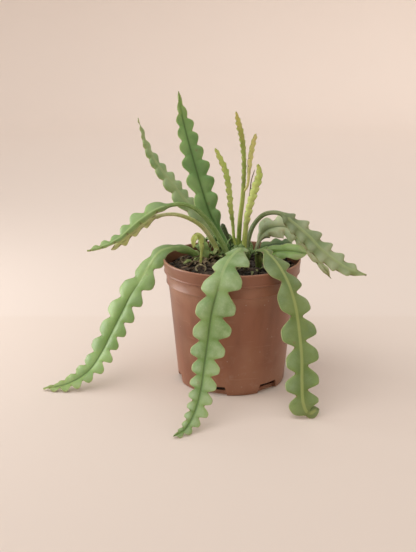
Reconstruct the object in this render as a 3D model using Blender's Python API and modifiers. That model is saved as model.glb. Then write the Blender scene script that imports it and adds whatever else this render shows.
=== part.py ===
"""Potted fishbone cactus: a nursery pot, its potting mix and the stems rooted in it.

Metres, +Z up, the front faces -Y. The origin is the bottom centre of the box around the whole
plant, and the pot's axis stands at POT_AXIS. Routes are in millimetres from the foot of that axis.
"""

import math
import random
from dataclasses import dataclass

import bmesh
import bpy
import numpy as np
from mathutils import Vector

MM = 0.001
COLLECTION = "potted_fishbone_cactus"
CUTTERS = "cutters"
POT_AXIS = Vector((25.9, 35.3, 0.0)) * MM
GAP = 0.45

# Pot, in mm.
POT_HEIGHT = 121.0
WALL = 1.5
TURN_STEPS = 36
FLOOR_UNDER = 2.0
FLOOR_TOP = 3.8
FLOOR_EDGE = 46.5
FOOT_INNER = 45.5
NOTCH_COUNT = 6
FIRST_NOTCH_DEG = 41.0
NOTCH_DEG = 24.0
NOTCH_HEIGHT = 9.0
POT_OUTLINE = (
    (65.0, POT_HEIGHT),
    (65.3, 119.3),
    (64.2, 109.2),
    (63.1, 108.0),
    (62.0, 98.4),
    (60.9, 97.4),
    (59.4, 86.0),
    (54.3, 31.0),
    (52.5, 11.0),
    (52.0, 4.0),
    (51.3, 1.0),
    (50.4, 0.0),
)

# Potting mix, in mm.
MIX_EDGE_HEIGHT = 109.0
MIX_CROWN = 4.5
MIX_BOTTOM = FLOOR_TOP + 0.5
SOCKET_BOTTOM = 103.0
ROOT_BOTTOM = 104.0
CHIP_GAP = 0.65

# Stems.
FINE = 24
FRONT = (0.0, -1.0, 0.0)

GREEN = (0.13, 0.27, 0.07, 1.0)
DARK_GREEN = (0.06, 0.17, 0.06, 1.0)
YOUNG_GREEN = (0.35, 0.43, 0.08, 1.0)
DRY = (0.30, 0.26, 0.12, 1.0)


@dataclass(frozen=True)
class Lobe:
    """A lobe's outline: where it peaks, its notch, its lean tipwards and its fullness."""

    skew: float
    power: float
    lean: float
    full: float


ROUND = Lobe(1.25, 1.45, 0.05, 1.75)
KNOB = Lobe(1.18, 1.45, 0.05, 1.90)
SCALLOP = Lobe(1.20, 1.10, 0.06, 1.30)
SAW = Lobe(2.20, 1.20, 0.12, 1.10)
TOOTH = Lobe(1.60, 1.10, 0.20, 1.20)


@dataclass(frozen=True)
class Edge:
    """The lobes along one edge of a blade, counted from its start towards its tip."""

    lobes: float
    crowd: float = 0.0
    start: float = 0.0
    share: float = 1.0
    notch: float = 0.55
    late: float = 1.0


@dataclass(frozen=True)
class Stem:
    """One flat stem: centre line in mm, how its face looks along it, half widths and lobes."""

    name: str
    route: tuple
    facing: tuple
    widths: tuple
    plus: Edge
    minus: Edge
    stalk_length: float
    stalk_half: float = 2.8
    stalk_thick: float = 4.6
    lobe: Lobe = ROUND
    stations: int = 7
    rooted: bool = True
    colour: tuple = GREEN


STEMS = (
    Stem(
        "stem_tall",
        ((1, 27), (0, 27, 114), (-6, 27, 128), (-14, 27, 143), (-22, 26.5, 160), (-30, 25, 186),
         (-36, 23, 208), (-42, 20, 231), (-47, 17, 253), (-50, 14, 275)),
        (FRONT, FRONT, (0.1, -1, 0.1), (0.2, -1, 0.1)),
        widths=(3.2, 9, 13, 14.5, 15, 14.5, 13.5, 12, 9, 5, 2),
        plus=Edge(9.4, 0.27, 0.64, share=0.95, notch=0.42),
        minus=Edge(8.2, 0.68, 0.59, share=0.82, notch=0.4),
        stalk_length=34, lobe=SCALLOP, colour=DARK_GREEN,
    ),
    Stem(
        "stem_rear_left",
        ((-9, 37), (-10, 37, 114), (-18, 42, 131), (-29, 48, 147), (-45, 55, 163),
         (-57.5, 60, 179), (-71.5, 64, 196), (-83, 67, 216), (-92, 70, 244)),
        ((0, -1, 0), (0.5, -0.85, 0.2), (0.65, -0.75, 0.3), (0.8, -0.6, 0.2)),
        widths=(3, 10, 12.5, 13, 12.5, 11, 9.5, 8, 5.5, 3.4, 1.4),
        plus=Edge(11, -0.3, 0.46, share=0.85, notch=0.34),
        minus=Edge(9.1, 0.85, 0.49, share=0.8, notch=0.4),
        stalk_length=42, lobe=SCALLOP,
    ),
    Stem(
        "stem_arching_upper",
        ((-2, 9), (-3, 9, 117), (-10, 7, 134), (-22, 4, 154), (-35, 0, 168), (-49, -4, 173),
         (-63, -8, 171), (-77, -11, 165), (-91, -14, 155), (-105, -16, 143), (-120, -18, 136),
         (-135, -20, 132)),
        (FRONT, (0, -0.8, 0.6), (-0.2, -0.8, 0.6), (-0.2, -0.7, 0.7)),
        widths=(1.9, 8.5, 10.5, 11.5, 12, 10.5, 8.5, 7, 6.5, 6, 3),
        plus=Edge(6.4, 0.64, 0.93, share=0.95, notch=0.5),
        minus=Edge(6.0, 0.45, 0.3, share=0.3, notch=0.35),
        stalk_length=96, stalk_half=3.1, lobe=KNOB,
    ),
    Stem(
        "stem_arching_lower",
        ((-11, 18), (-11, 18, 115), (-18, 15, 132), (-28, 12, 147), (-40, 9, 156), (-54, 6, 161),
         (-68, 3, 160.5), (-80, 0, 154.5), (-93, -3, 145.5), (-105, -6, 136), (-114, -8, 130)),
        (FRONT, (0, -0.9, 0.3), (-0.1, -1, -0.1), (-0.2, -1, -0.2)),
        widths=(1.7, 3.6, 4.6, 5.2, 5.4, 5.4, 5, 2.5),
        plus=Edge(5, 0.2, 0.5, share=0.8, notch=0.2), minus=Edge(4.4, 0.1, 0.45, notch=0.62),
        stalk_length=90, stalk_half=2.7, lobe=SAW, colour=YOUNG_GREEN,
    ),
    Stem(
        "stem_trailing_left",
        ((-31, 15), (-32, 15, 114), (-38, 12, 122), (-47, 8, 127), (-58, 3, 128.3),
         (-69, 1, 124.3), (-79, -1, 111), (-88, -5, 97), (-97, -8, 84), (-105, -12, 69),
         (-114, -17, 52), (-124, -23, 33), (-135, -30, 18), (-149, -35, 9), (-164, -38, 4),
         (-179, -39, 2.4)),
        (FRONT, (-0.3, -0.45, 0.85), (-0.5, -0.8, 0.45), (-0.5, -0.8, 0.35), (-0.4, -0.7, 0.55),
         (-0.1, -0.3, 0.95)),
        widths=(3, 7.5, 12.5, 15, 17, 18, 17, 15.5, 13, 10.5, 5),
        plus=Edge(11.9, 0.25, 0.98, notch=0.46, late=3.0),
        minus=Edge(13.2, 0.73, 0.42, share=0.92, notch=0.48),
        stalk_length=14,
    ),
    Stem(
        "stem_front",
        ((13, -5), (13, -6, 115), (13, -15, 128), (9, -26, 135), (3, -39, 135), (-4, -52, 131),
         (-10, -65, 123), (-15, -74, 108), (-20, -81, 90), (-23, -89, 69), (-26, -99, 50),
         (-29, -110, 32), (-34, -121, 16), (-42, -132, 5), (-52, -141, 2.4)),
        (FRONT, (-0.2, -0.4, 0.9), (0, -0.95, 0.3), (0, -1, 0.2), (0, -0.6, 0.8)),
        widths=(3.4, 10, 18, 18, 20.5, 21, 17.5, 14.5, 13, 10.5, 6),
        plus=Edge(14.3, 0.4, 0.49, share=0.76, notch=0.45, late=3.0),
        minus=Edge(13.1, 0.4, 0.09, share=1.02, notch=0.5, late=3.0),
        stalk_length=24,
    ),
    Stem(
        "stem_front_right",
        ((25, -10), (25, -12, 116), (24, -21, 130), (28, -32, 135), (35, -43, 131),
         (43, -53, 122), (50, -62, 109), (55, -69, 92), (58, -76, 73), (60, -85, 52),
         (60, -94, 32), (61, -101, 15), (66, -102, 6), (75, -97, 8)),
        (FRONT, (0.35, -0.5, 0.8), (0.35, -0.85, 0.35), (0.1, -1, 0), (0, -1, 0.3)),
        widths=(3.4, 8, 14, 15.5, 16.5, 16.5, 16.5, 16.5, 16.5, 15, 10),
        plus=Edge(7.4, 0.3, 0.43, share=0.93, notch=0.62, late=3.0),
        minus=Edge(8.8, 0.0, 0.75, notch=0.66),
        stalk_length=24, lobe=KNOB,
    ),
    Stem(
        "stem_right",
        ((14, 28), (15, 28, 115), (17, 27, 133), (22, 25, 147), (32, 21, 158), (46, 15, 160),
         (58, 10, 152), (74, 4, 139), (84, 0, 129), (97, -4, 119), (111, -8, 111),
         (127, -11, 106)),
        (FRONT, (0, -0.8, 0.6), (0.2, -0.9, 0.5), (0.1, -0.85, 0.5)),
        widths=(2.1, 9, 11.5, 12, 13, 13, 12.5, 11.5, 9.5, 6.5, 1.5),
        plus=Edge(8, 0.0, 0.1, share=0.85, notch=0.22), minus=Edge(6.6, -0.07, 0.98, notch=0.44),
        stalk_length=74, stalk_half=2.6, lobe=SAW,
    ),
    Stem(
        "stem_back_right",
        ((23, 38), (24, 39, 114), (31, 44, 132), (41, 47, 138), (54, 51, 138), (67, 52, 132),
         (78, 51, 120), (86, 48, 108), (94, 45, 97), (101, 42, 87)),
        (FRONT, (0.2, -0.6, 0.8), (0.3, -0.8, 0.5), (0.3, -0.9, 0.2)),
        widths=(2, 11, 15, 16, 15.5, 14, 12, 8, 6, 4.5, 1.2),
        plus=Edge(6, 0.1, 0.3, notch=0.4), minus=Edge(6.5, 0.1, 0.6, notch=0.45),
        stalk_length=22, stalk_half=2.2,
    ),
    Stem(
        "stem_low_right",
        ((27, 26), (28, 26, 114), (31, 27, 121), (39, 29, 125), (49, 30, 126), (60, 30, 127)),
        (FRONT, (0, -0.4, 0.9), (0.2, -0.5, 0.8)),
        widths=(2.2, 7, 8, 8, 7, 2),
        plus=Edge(3, 0, 0.2, notch=0.3), minus=Edge(3.4, 0, 0.5, notch=0.3),
        stalk_length=12, colour=DARK_GREEN,
    ),
    Stem(
        "stem_short_right",
        ((30, 9), (31, 9, 114), (35, 7, 121), (45, 3, 125), (57, -3, 127), (70, -9, 126)),
        (FRONT, (0, -0.6, 0.8), (0.1, -0.8, 0.6)),
        widths=(2.4, 7, 8.5, 9, 9, 8.5, 6.5),
        plus=Edge(3, 0, 0.2, notch=0.1), minus=Edge(3.3, 0, 0.5, notch=0.08),
        stalk_length=12, colour=YOUNG_GREEN,
    ),
    Stem(
        "shoot_centre",
        ((7, 18), (7, 18, 115), (7, 18, 133), (8, 16, 155), (10, 15, 173), (11, 14, 192),
         (11, 13, 212), (9, 12, 232), (3, 10, 257)),
        (FRONT, (0.3, -0.95, 0), (0.4, -0.9, 0)),
        widths=(2.2, 2.4, 2.6, 2.6, 2.8, 3.2, 3.4, 3.2, 2.4),
        plus=Edge(13, 0.2, 0.3, notch=0.3), minus=Edge(13, 0.2, 0.8, notch=0.28),
        stalk_length=78, stalk_half=2.4, stalk_thick=3.6, lobe=TOOTH, stations=4,
        colour=YOUNG_GREEN,
    ),
    Stem(
        "shoot_left",
        ((2.6, 19, 132), (1, 20, 150), (-1, 18, 166), (-2, 17, 179), (-5, 17, 197), (-9, 17, 208),
         (-16, 18, 222)),
        ((0.6, -0.8, 0), (0.5, -0.85, 0)),
        widths=(1.6, 2.8, 3.4, 3.6, 3.8, 3.8, 3.6, 3.4, 3.2),
        plus=Edge(12, 0.0, 0.3, notch=0.3), minus=Edge(12, 0.0, 0.8, notch=0.3),
        stalk_length=20, stalk_half=1.5, stalk_thick=2.6, lobe=TOOTH, rooted=False, stations=4,
        colour=YOUNG_GREEN,
    ),
    Stem(
        "shoot_branch",
        ((14.6, 12, 188), (16, 13, 202), (18, 14, 219), (22, 15, 236)),
        ((0.3, -0.95, 0), (0.5, -0.85, 0)),
        widths=(1.4, 2.6, 3.2, 3.2, 2.6),
        plus=Edge(6, 0.2, 0.3, notch=0.28), minus=Edge(6, 0.2, 0.8, notch=0.25),
        stalk_length=16, stalk_half=1.2, stalk_thick=2.2, lobe=TOOTH, rooted=False, stations=4,
        colour=YOUNG_GREEN,
    ),
    Stem(
        "shoot_right",
        ((12, 7), (12, 7, 115), (12, 7, 135), (15, 6, 162), (21, 6, 185), (25, 6, 198),
         (24, 6, 209)),
        (FRONT, (-0.3, -0.95, 0)),
        widths=(2.4, 3.2, 3.6, 4, 4.2, 4.2, 3.8, 3),
        plus=Edge(9, 0.2, 0.3, notch=0.3), minus=Edge(9, 0.2, 0.8, notch=0.22),
        stalk_length=40, stalk_half=2.2, stalk_thick=3.6, lobe=TOOTH, stations=4,
        colour=YOUNG_GREEN,
    ),
    Stem(
        "shoot_young_left",
        ((-25, 5), (-25, 5, 114), (-26, 5, 124), (-28, 6, 134), (-32, 8, 142)),
        (FRONT, (0.2, -0.95, 0)),
        widths=(1.8, 4.4, 5, 4.6, 2.4),
        plus=Edge(4, 0, 0.2, notch=0.25), minus=Edge(4, 0, 0.7, notch=0.25),
        stalk_length=8, stalk_half=1.7, stalk_thick=2.4, stations=4,
    ),
    Stem(
        "shoot_drooping",
        ((-30, -3), (-30, -3, 114), (-29, -3, 127), (-29.5, -3, 138), (-33, -4, 143),
         (-36, -5, 139), (-36.5, -5, 131)),
        (FRONT, (-0.5, -0.85, 0.2), (-0.3, -0.95, 0)),
        widths=(1.3, 3.0, 3.6, 3.2, 2.0),
        plus=Edge(3, 0, 0.2, notch=0.2), minus=Edge(3, 0, 0.7, notch=0.2),
        stalk_length=22, stalk_half=1.2, stalk_thick=1.8, stations=4, colour=YOUNG_GREEN,
    ),
)


@dataclass(frozen=True)
class Twig:
    """A round dry piece: a tube along a short route in mm."""

    name: str
    route: tuple
    radius: float
    colour: tuple
    rooted: bool = False


TWIGS = (
    Twig("aerial_root", ((16, 9, 176), (17, 9, 184), (18, 9.5, 193), (21, 10, 203)), 0.7, DRY),
    Twig("cut_stub", ((-1, 39), (-1, 39, 116), (-4, 40, 131), (-9, 41, 144)), 2.3, DARK_GREEN,
         rooted=True),
    Twig("bare_stalk", ((-33, 28), (-34, 27, 116), (-42, 23, 121), (-50, 19, 124), (-58, 16, 126)),
         1.2, DRY, rooted=True),
    Twig("dry_curl", ((-33, -24, 113.3), (-34, -22, 116.5), (-31, -21, 118.6), (-28, -21, 118.6),
                      (-25, -22, 116.5), (-26, -24, 113.4)), 1.1, DRY),
)

# Bark chips on the mix: pot-frame place in mm, turn in degrees, and length, width, height in mm.
CHIPS = (
    ((-46, -2), 20, (11, 7, 3.5)),
    ((-42, -20), 75, (9, 6, 4.0)),
    ((-16, -36), 130, (10, 7, 3.5)),
    ((-18, -12), 40, (8, 6, 3.5)),
    ((40, -18), 160, (10, 6, 3.5)),
    ((2, -28), 100, (8, 5, 3.0)),
    ((-8, 50), 10, (11, 7, 4.0)),
    ((46, 12), 60, (9, 6, 3.5)),
)


def clear_scene():
    """Remove the objects of the scene that the file opened with."""
    for obj in list(bpy.data.objects):
        bpy.data.objects.remove(obj, do_unlink=True)


def collection(name):
    """A new collection of the scene."""
    made = bpy.data.collections.new(name)
    bpy.context.scene.collection.children.link(made)
    return made


def material(name, colour, roughness):
    """A Principled material, made once for each name."""
    found = bpy.data.materials.get(name)
    if found:
        return found
    made = bpy.data.materials.new(name)
    made.use_nodes = True
    shader = made.node_tree.nodes["Principled BSDF"]
    shader.inputs["Base Color"].default_value = colour
    shader.inputs["Roughness"].default_value = roughness
    return made


def add_object(name, data, group, finish=None):
    """An object around mesh or curve data, placed on the pot's axis."""
    obj = bpy.data.objects.new(name, data)
    obj.location = POT_AXIS
    group.objects.link(obj)
    if finish:
        data.materials.append(finish)
    return obj


def turned(name, outline, group, finish):
    """A solid turned about Z from an outline in mm that ends on the axis or closes on itself."""
    closed = outline[0] == outline[-1]
    points = outline[:-1] if closed else outline
    mesh = bpy.data.meshes.new(name)
    bm = bmesh.new()
    verts = [bm.verts.new((r * MM, 0.0, z * MM)) for r, z in points]
    following = verts[1:] + verts[:1] if closed else verts[1:]
    for start, end in zip(verts, following):
        bm.edges.new((start, end))
    bm.to_mesh(mesh)
    bm.free()
    obj = add_object(name, mesh, group, finish)
    screw = obj.modifiers.new("turn", "SCREW")
    screw.steps = TURN_STEPS
    screw.render_steps = TURN_STEPS
    screw.use_merge_vertices = True
    screw.merge_threshold = 0.01 * MM
    return obj


def cut(obj, cutter, name):
    """Take the cutter's shape out of an object."""
    boolean = obj.modifiers.new(name, "BOOLEAN")
    boolean.operation = "DIFFERENCE"
    boolean.object = cutter


def cutter_from(name, bm, group):
    """A hidden wire object that holds a cutter's shape."""
    mesh = bpy.data.meshes.new(name)
    bm.to_mesh(mesh)
    bm.free()
    obj = add_object(name, mesh, group)
    obj.hide_render = True
    obj.display_type = "WIRE"
    return obj


def inner_radius(height):
    """The pot wall's inner radius in mm at a height in mm."""
    heights = [z for _, z in reversed(POT_OUTLINE)]
    radii = [r for r, _ in reversed(POT_OUTLINE)]
    return float(np.interp(height, heights, radii)) - WALL


def build_pot(group, cutters):
    """The turned pot with its stepped rim band, raised floor and six drain notches."""
    inner = [(r - WALL, z) for r, z in reversed(POT_OUTLINE) if FLOOR_TOP + 2 < z < POT_HEIGHT]
    outline = [
        (0.0, FLOOR_UNDER),
        (FOOT_INNER - 1.0, FLOOR_UNDER),
        (FOOT_INNER, 0.0),
        *reversed(POT_OUTLINE),
        (POT_OUTLINE[0][0] - WALL, POT_HEIGHT),
        *reversed(inner),
        (inner_radius(FLOOR_TOP) - 1.0, FLOOR_TOP),
        (0.0, FLOOR_TOP),
    ]
    plastic = material("pot_plastic", (0.38, 0.16, 0.09, 1.0), 0.45)
    pot = turned("pot", list(reversed(outline)), group, plastic)
    for index in range(NOTCH_COUNT):
        bm = bmesh.new()
        bmesh.ops.create_cube(bm, size=1.0)
        reach = 14.0
        middle = FLOOR_EDGE + reach / 2
        for vert in bm.verts:
            low = vert.co.z < 0
            half = math.radians(NOTCH_DEG / 2) * middle + (1.2 if low else -1.2)
            vert.co.x = math.copysign(half, vert.co.x) * MM
            vert.co.y = -(middle + math.copysign(reach / 2, vert.co.y)) * MM
            vert.co.z = (-1.0 if low else NOTCH_HEIGHT) * MM
        bmesh.ops.recalc_face_normals(bm, faces=bm.faces)
        notch = cutter_from(f"notch_cutter_{index + 1}", bm, cutters)
        notch.rotation_euler.z = math.radians(FIRST_NOTCH_DEG + index * 360 / NOTCH_COUNT)
        cut(pot, notch, f"notch_{index + 1}")
    return pot


def mix_height(x, y):
    """Height in mm of the mounded mix at a place in mm from the pot's axis."""
    share = min(1.0, math.hypot(x, y) / inner_radius(MIX_EDGE_HEIGHT))
    return MIX_EDGE_HEIGHT + MIX_CROWN * (1 - share**2)


def build_mix(group, cutters):
    """The potting mix filling the pot, mounded at the middle, with a socket at each rooted stem."""
    edge = inner_radius(MIX_EDGE_HEIGHT) - GAP
    top = [(edge * share, mix_height(edge * share, 0)) for share in (0.0, 0.3, 0.55, 0.8, 1.0)]
    side = [(inner_radius(z) - GAP, z) for _, z in POT_OUTLINE if 12.0 < z < MIX_EDGE_HEIGHT]
    foot_edge = FLOOR_EDGE - 0.6
    foot = [(foot_edge, NOTCH_HEIGHT + 1.0), (foot_edge, MIX_BOTTOM), (0.0, MIX_BOTTOM)]
    humus = material("mix", (0.03, 0.02, 0.015, 1.0), 0.9)
    mix = turned("potting_mix", top + side + foot, group, humus)
    sockets = [(stem.name, stem.route[0], stem.stalk_half) for stem in STEMS if stem.rooted]
    sockets += [(twig.name, twig.route[0], twig.radius) for twig in TWIGS if twig.rooted]
    for name, place, half in sockets:
        bm = bmesh.new()
        bmesh.ops.create_cone(
            bm, cap_ends=True, segments=12, radius1=(half + 0.9) * MM, radius2=(half + 2.2) * MM,
            depth=16 * MM,
        )
        middle = Vector((*place, SOCKET_BOTTOM + 8)) * MM
        bmesh.ops.translate(bm, verts=bm.verts, vec=middle)
        cut(mix, cutter_from(f"{name}_socket_cutter", bm, cutters), f"{name}_socket")
    return mix


def catmull_rom(before, start, end, after, share):
    """The point at a share of the way from start to end on a smooth curve."""
    return 0.5 * (
        2 * start
        + (end - before) * share
        + (2 * before - 5 * start + 4 * end - after) * share**2
        + (3 * start - before - 3 * end + after) * share**3
    )


def smooth_route(points, count):
    """Evenly spaced points, in mm, along a smooth curve through the route's points."""
    knots = [np.array(point, dtype=float) for point in points]
    knots = [2 * knots[0] - knots[1], *knots, 2 * knots[-1] - knots[-2]]
    fine = [
        catmull_rom(*knots[index : index + 4], share)
        for index in range(len(knots) - 3)
        for share in np.linspace(0.0, 1.0, FINE, endpoint=False)
    ]
    fine.append(knots[-2])
    travel = np.concatenate(([0.0], np.cumsum(np.linalg.norm(np.diff(fine, axis=0), axis=1))))
    even = np.linspace(0.0, travel[-1], count)
    columns = [np.interp(even, travel, axis) for axis in np.array(fine).T]
    return np.stack(columns, axis=1), travel[-1]


def rooted_route(piece):
    """A piece's route in mm; a rooted one starts straight down in its socket."""
    first, *rest = piece.route
    return ((*first, ROOT_BOTTOM), *rest) if piece.rooted else piece.route


def unit(vectors):
    """Vectors scaled to length one."""
    return vectors / np.linalg.norm(vectors, axis=-1, keepdims=True)


def blade_at(stem, along, length):
    """Share of the blade passed at a distance in mm along a stem; nought on its stalk."""
    return max(0.0, (along - stem.stalk_length) / (length - stem.stalk_length))


def lobe_reach(stem, edge, blade):
    """How far an edge stands out at a share of the blade: nought in a notch, one on a lobe."""
    packing = 1 - edge.crowd + edge.crowd * blade**edge.late
    turns = edge.start + edge.lobes * blade * packing
    part = (turns % 1.0) ** stem.lobe.skew
    return 1 - (1 - math.sin(math.pi * part) ** stem.lobe.power) ** stem.lobe.full


def half_width_at(stem, edge, along, length):
    """Half width in mm at a distance in mm along a stem, on one edge."""
    slim = min(1.0, along / stem.stalk_length)
    stalk = stem.stalk_half + (stem.widths[0] - stem.stalk_half) * slim
    blade = blade_at(stem, along, length)
    full = np.interp(blade, np.linspace(0.0, 1.0, len(stem.widths)), stem.widths) * edge.share
    full *= math.sqrt(max(0.0, 1 - blade**14))
    depth = edge.notch * min(1.0, blade * 12)
    lobed = full * (1 - depth * (1 - lobe_reach(stem, edge, blade)))
    grown = min(1.0, blade * 9)
    return max(stalk * (1 - grown) + lobed * grown, 0.2 * stem.stalk_half)


def stem_rows(stem, length):
    """Distances in mm along a stem for its rows: close together where the lobes are close."""
    blade = length - stem.stalk_length
    crowd = min(0.75, max(stem.plus.crowd, stem.minus.crowd, 0.0))
    count = math.ceil(max(stem.plus.lobes, stem.minus.lobes) * stem.stations)
    share = np.linspace(0.0, 1.0, 200)
    packed = share * (1 - crowd + crowd * share)
    along = np.interp(np.linspace(0.0, 1.0, count + 1), packed, share)
    stalk_rows = max(3, round(stem.stalk_length / 7))
    stalk = np.linspace(0.0, stem.stalk_length, stalk_rows, endpoint=False)
    return np.concatenate((stalk, stem.stalk_length + along * blade))


def build_stem(stem, group):
    """A stem: a flat grid laid along its route, lobed at both edges and thickened at the midrib."""
    route = rooted_route(stem)
    fine, length = smooth_route(route, 400)
    along = stem_rows(stem, length)
    rows = len(along)
    ticks = np.linspace(0.0, length, 400)
    centre = np.stack([np.interp(along, ticks, axis) for axis in fine.T], axis=1)
    slope = unit(np.gradient(fine, axis=0))
    tangent = unit(np.stack([np.interp(along, ticks, axis) for axis in slope.T], axis=1))
    anchors = np.linspace(0.0, length, len(stem.facing))
    facing = np.stack([np.interp(along, anchors, axis) for axis in np.array(stem.facing).T], axis=1)
    across = unit(np.cross(tangent, facing))
    normal = np.cross(across, tangent)

    mesh = bpy.data.meshes.new(stem.name)
    bm = bmesh.new()
    bmesh.ops.create_grid(bm, x_segments=rows - 1, y_segments=2, size=1.0)
    weights = bm.verts.layers.deform.verify()
    for vert in bm.verts:
        row = round((vert.co.x + 1) / 2 * (rows - 1))
        side = round(vert.co.y)
        edge = stem.plus if side > 0 else stem.minus
        half = half_width_at(stem, edge, along[row], length) * abs(side)
        blade = blade_at(stem, along[row], length)
        fold = 0.12 * half * min(1.0, blade * 5)
        lean = stem.lobe.lean * half * lobe_reach(stem, edge, blade) * min(1.0, blade * 9)
        place = centre[row] + across[row] * side * half + normal[row] * fold + tangent[row] * lean
        vert.co = Vector(place) * MM
        stalk = max(0.0, 1 - blade * 6)
        middle = 0.4 + 0.6 * stalk if blade < 0.8 else 0.4 - 0.6 * (blade - 0.8)
        vert[weights][0] = 0.2 + 0.35 * stalk if side else middle
    bm.to_mesh(mesh)
    bm.free()
    obj = add_object(stem.name, mesh, group, material(f"{stem.name}_skin", stem.colour, 0.5))
    obj.vertex_groups.new(name="thickness")
    solid = obj.modifiers.new("thickness", "SOLIDIFY")
    solid.thickness = stem.stalk_thick * MM
    solid.offset = 0.0
    solid.vertex_group = "thickness"
    mesh.shade_smooth()
    return obj


def build_twig(twig, group):
    """A dry or cut piece: a round tube along its route."""
    curve = bpy.data.curves.new(twig.name, "CURVE")
    curve.dimensions = "3D"
    curve.bevel_depth = twig.radius * MM
    curve.bevel_resolution = 2
    curve.use_fill_caps = True
    spline = curve.splines.new("POLY")
    route = rooted_route(twig)
    points, _ = smooth_route(route, 2 * len(route))
    spline.points.add(len(points) - 1)
    for slot, point in zip(spline.points, points):
        slot.co = (*(Vector(point) * MM), 1.0)
    return add_object(twig.name, curve, group, material(f"{twig.name}_bark", twig.colour, 0.8))


def build_chip(index, place, turn, size, group):
    """A rough flat bark chip lying on the mix."""
    jitter = random.Random(40 + index)
    mesh = bpy.data.meshes.new(f"bark_chip_{index}")
    bm = bmesh.new()
    bmesh.ops.create_cube(bm, size=1.0)
    bmesh.ops.subdivide_edges(bm, edges=bm.edges, cuts=1, use_grid_fill=True)
    for vert in bm.verts:
        rough = [jitter.uniform(0.75, 1.0) for _ in range(3)]
        round_off = 1.0 - 0.35 * (abs(vert.co.x) + abs(vert.co.y) - 0.5)
        vert.co = Vector([
            vert.co.x * size[0] * rough[0] * round_off,
            vert.co.y * size[1] * rough[1] * round_off,
            vert.co.z * size[2] * rough[2],
        ]) * MM
    bm.to_mesh(mesh)
    bm.free()
    bark = material("bark", (0.07, 0.04, 0.025, 1.0), 0.9)
    chip = add_object(mesh.name, mesh, group, bark)
    lift = mix_height(*place) + size[2] / 2 + CHIP_GAP
    chip.location = POT_AXIS + Vector((*place, lift)) * MM
    chip.rotation_euler.z = math.radians(turn)
    return chip


def main():
    """Build every piece of the plant."""
    clear_scene()
    group = collection(COLLECTION)
    cutters = collection(CUTTERS)
    build_pot(group, cutters)
    build_mix(group, cutters)
    for stem in STEMS:
        build_stem(stem, group)
    for twig in TWIGS:
        build_twig(twig, group)
    for index, (place, turn, size) in enumerate(CHIPS, start=1):
        build_chip(index, place, turn, size, group)


main()
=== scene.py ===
"""Potted fishbone cactus: finished meshes, materials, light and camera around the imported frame."""

import logging
import math
import random
from dataclasses import dataclass
from enum import Enum

import bmesh
import bpy
import numpy as np
from mathutils import Matrix, Vector, noise

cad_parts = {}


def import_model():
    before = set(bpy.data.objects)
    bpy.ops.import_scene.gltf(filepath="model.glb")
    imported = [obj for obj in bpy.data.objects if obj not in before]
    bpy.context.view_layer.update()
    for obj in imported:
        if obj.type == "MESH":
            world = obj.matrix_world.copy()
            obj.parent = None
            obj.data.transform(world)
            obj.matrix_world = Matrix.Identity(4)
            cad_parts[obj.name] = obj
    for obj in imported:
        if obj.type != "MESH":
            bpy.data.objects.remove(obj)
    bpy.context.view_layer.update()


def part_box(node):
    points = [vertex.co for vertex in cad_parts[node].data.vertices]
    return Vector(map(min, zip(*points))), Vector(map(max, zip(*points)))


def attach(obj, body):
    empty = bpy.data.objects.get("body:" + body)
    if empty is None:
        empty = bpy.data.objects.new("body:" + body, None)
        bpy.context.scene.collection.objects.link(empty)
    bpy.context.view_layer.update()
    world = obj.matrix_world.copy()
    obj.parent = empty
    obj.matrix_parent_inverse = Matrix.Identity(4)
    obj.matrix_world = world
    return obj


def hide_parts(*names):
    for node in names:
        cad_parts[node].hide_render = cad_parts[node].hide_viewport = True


MM = 0.001
PER_METRE = 1000.0
BODY = "root"
ROOT_BOTTOM = 104.0
MOUND_EDGE = 109.0
MOUND_CROWN = 4.5
FRONT = (0.0, -1.0, 0.0)

Colour = tuple[float, float, float]
Point = tuple[float, ...]

log = logging.getLogger("cactus")


# ---------------------------------------------------------------- shader maths


class Value:
    """A shader socket whose Python operators add Math nodes to its tree."""

    def __init__(self, recipe: "Recipe", socket: bpy.types.NodeSocket) -> None:
        """Wraps an output socket of one recipe's tree."""
        self.recipe = recipe
        self.socket = socket

    def math(self, operation: str, *others: "Value | float", clamp: bool = False) -> "Value":
        """Adds one Math node.

        Args:
            operation: Blender's name of the operation.
            others: the second and third operands, as values or numbers.
            clamp: whether the result is kept between 0 and 1.

        Returns:
            The node's output.
        """
        return self.recipe.operate(operation, (self, *others), clamp)

    def __add__(self, other: "Value | float") -> "Value":
        """self + other."""
        return self.math("ADD", other)

    def __radd__(self, other: float) -> "Value":
        """other + self."""
        return self.recipe.operate("ADD", (other, self))

    def __sub__(self, other: "Value | float") -> "Value":
        """self - other."""
        return self.math("SUBTRACT", other)

    def __rsub__(self, other: float) -> "Value":
        """other - self."""
        return self.recipe.operate("SUBTRACT", (other, self))

    def __mul__(self, other: "Value | float") -> "Value":
        """self * other."""
        return self.math("MULTIPLY", other)

    def __rmul__(self, other: float) -> "Value":
        """other * self."""
        return self.recipe.operate("MULTIPLY", (other, self))

    def __abs__(self) -> "Value":
        """The size of self."""
        return self.math("ABSOLUTE")

    def between(self, low: float, high: float) -> "Value":
        """A smooth step.

        Args:
            low: where the step is 0.
            high: where the step is 1, which may be below low for a falling step.

        Returns:
            The step, from 0 to 1.
        """
        share = (self - low).math("DIVIDE", high - low, clamp=True)
        return share * share * (3.0 - 2.0 * share)


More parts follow.
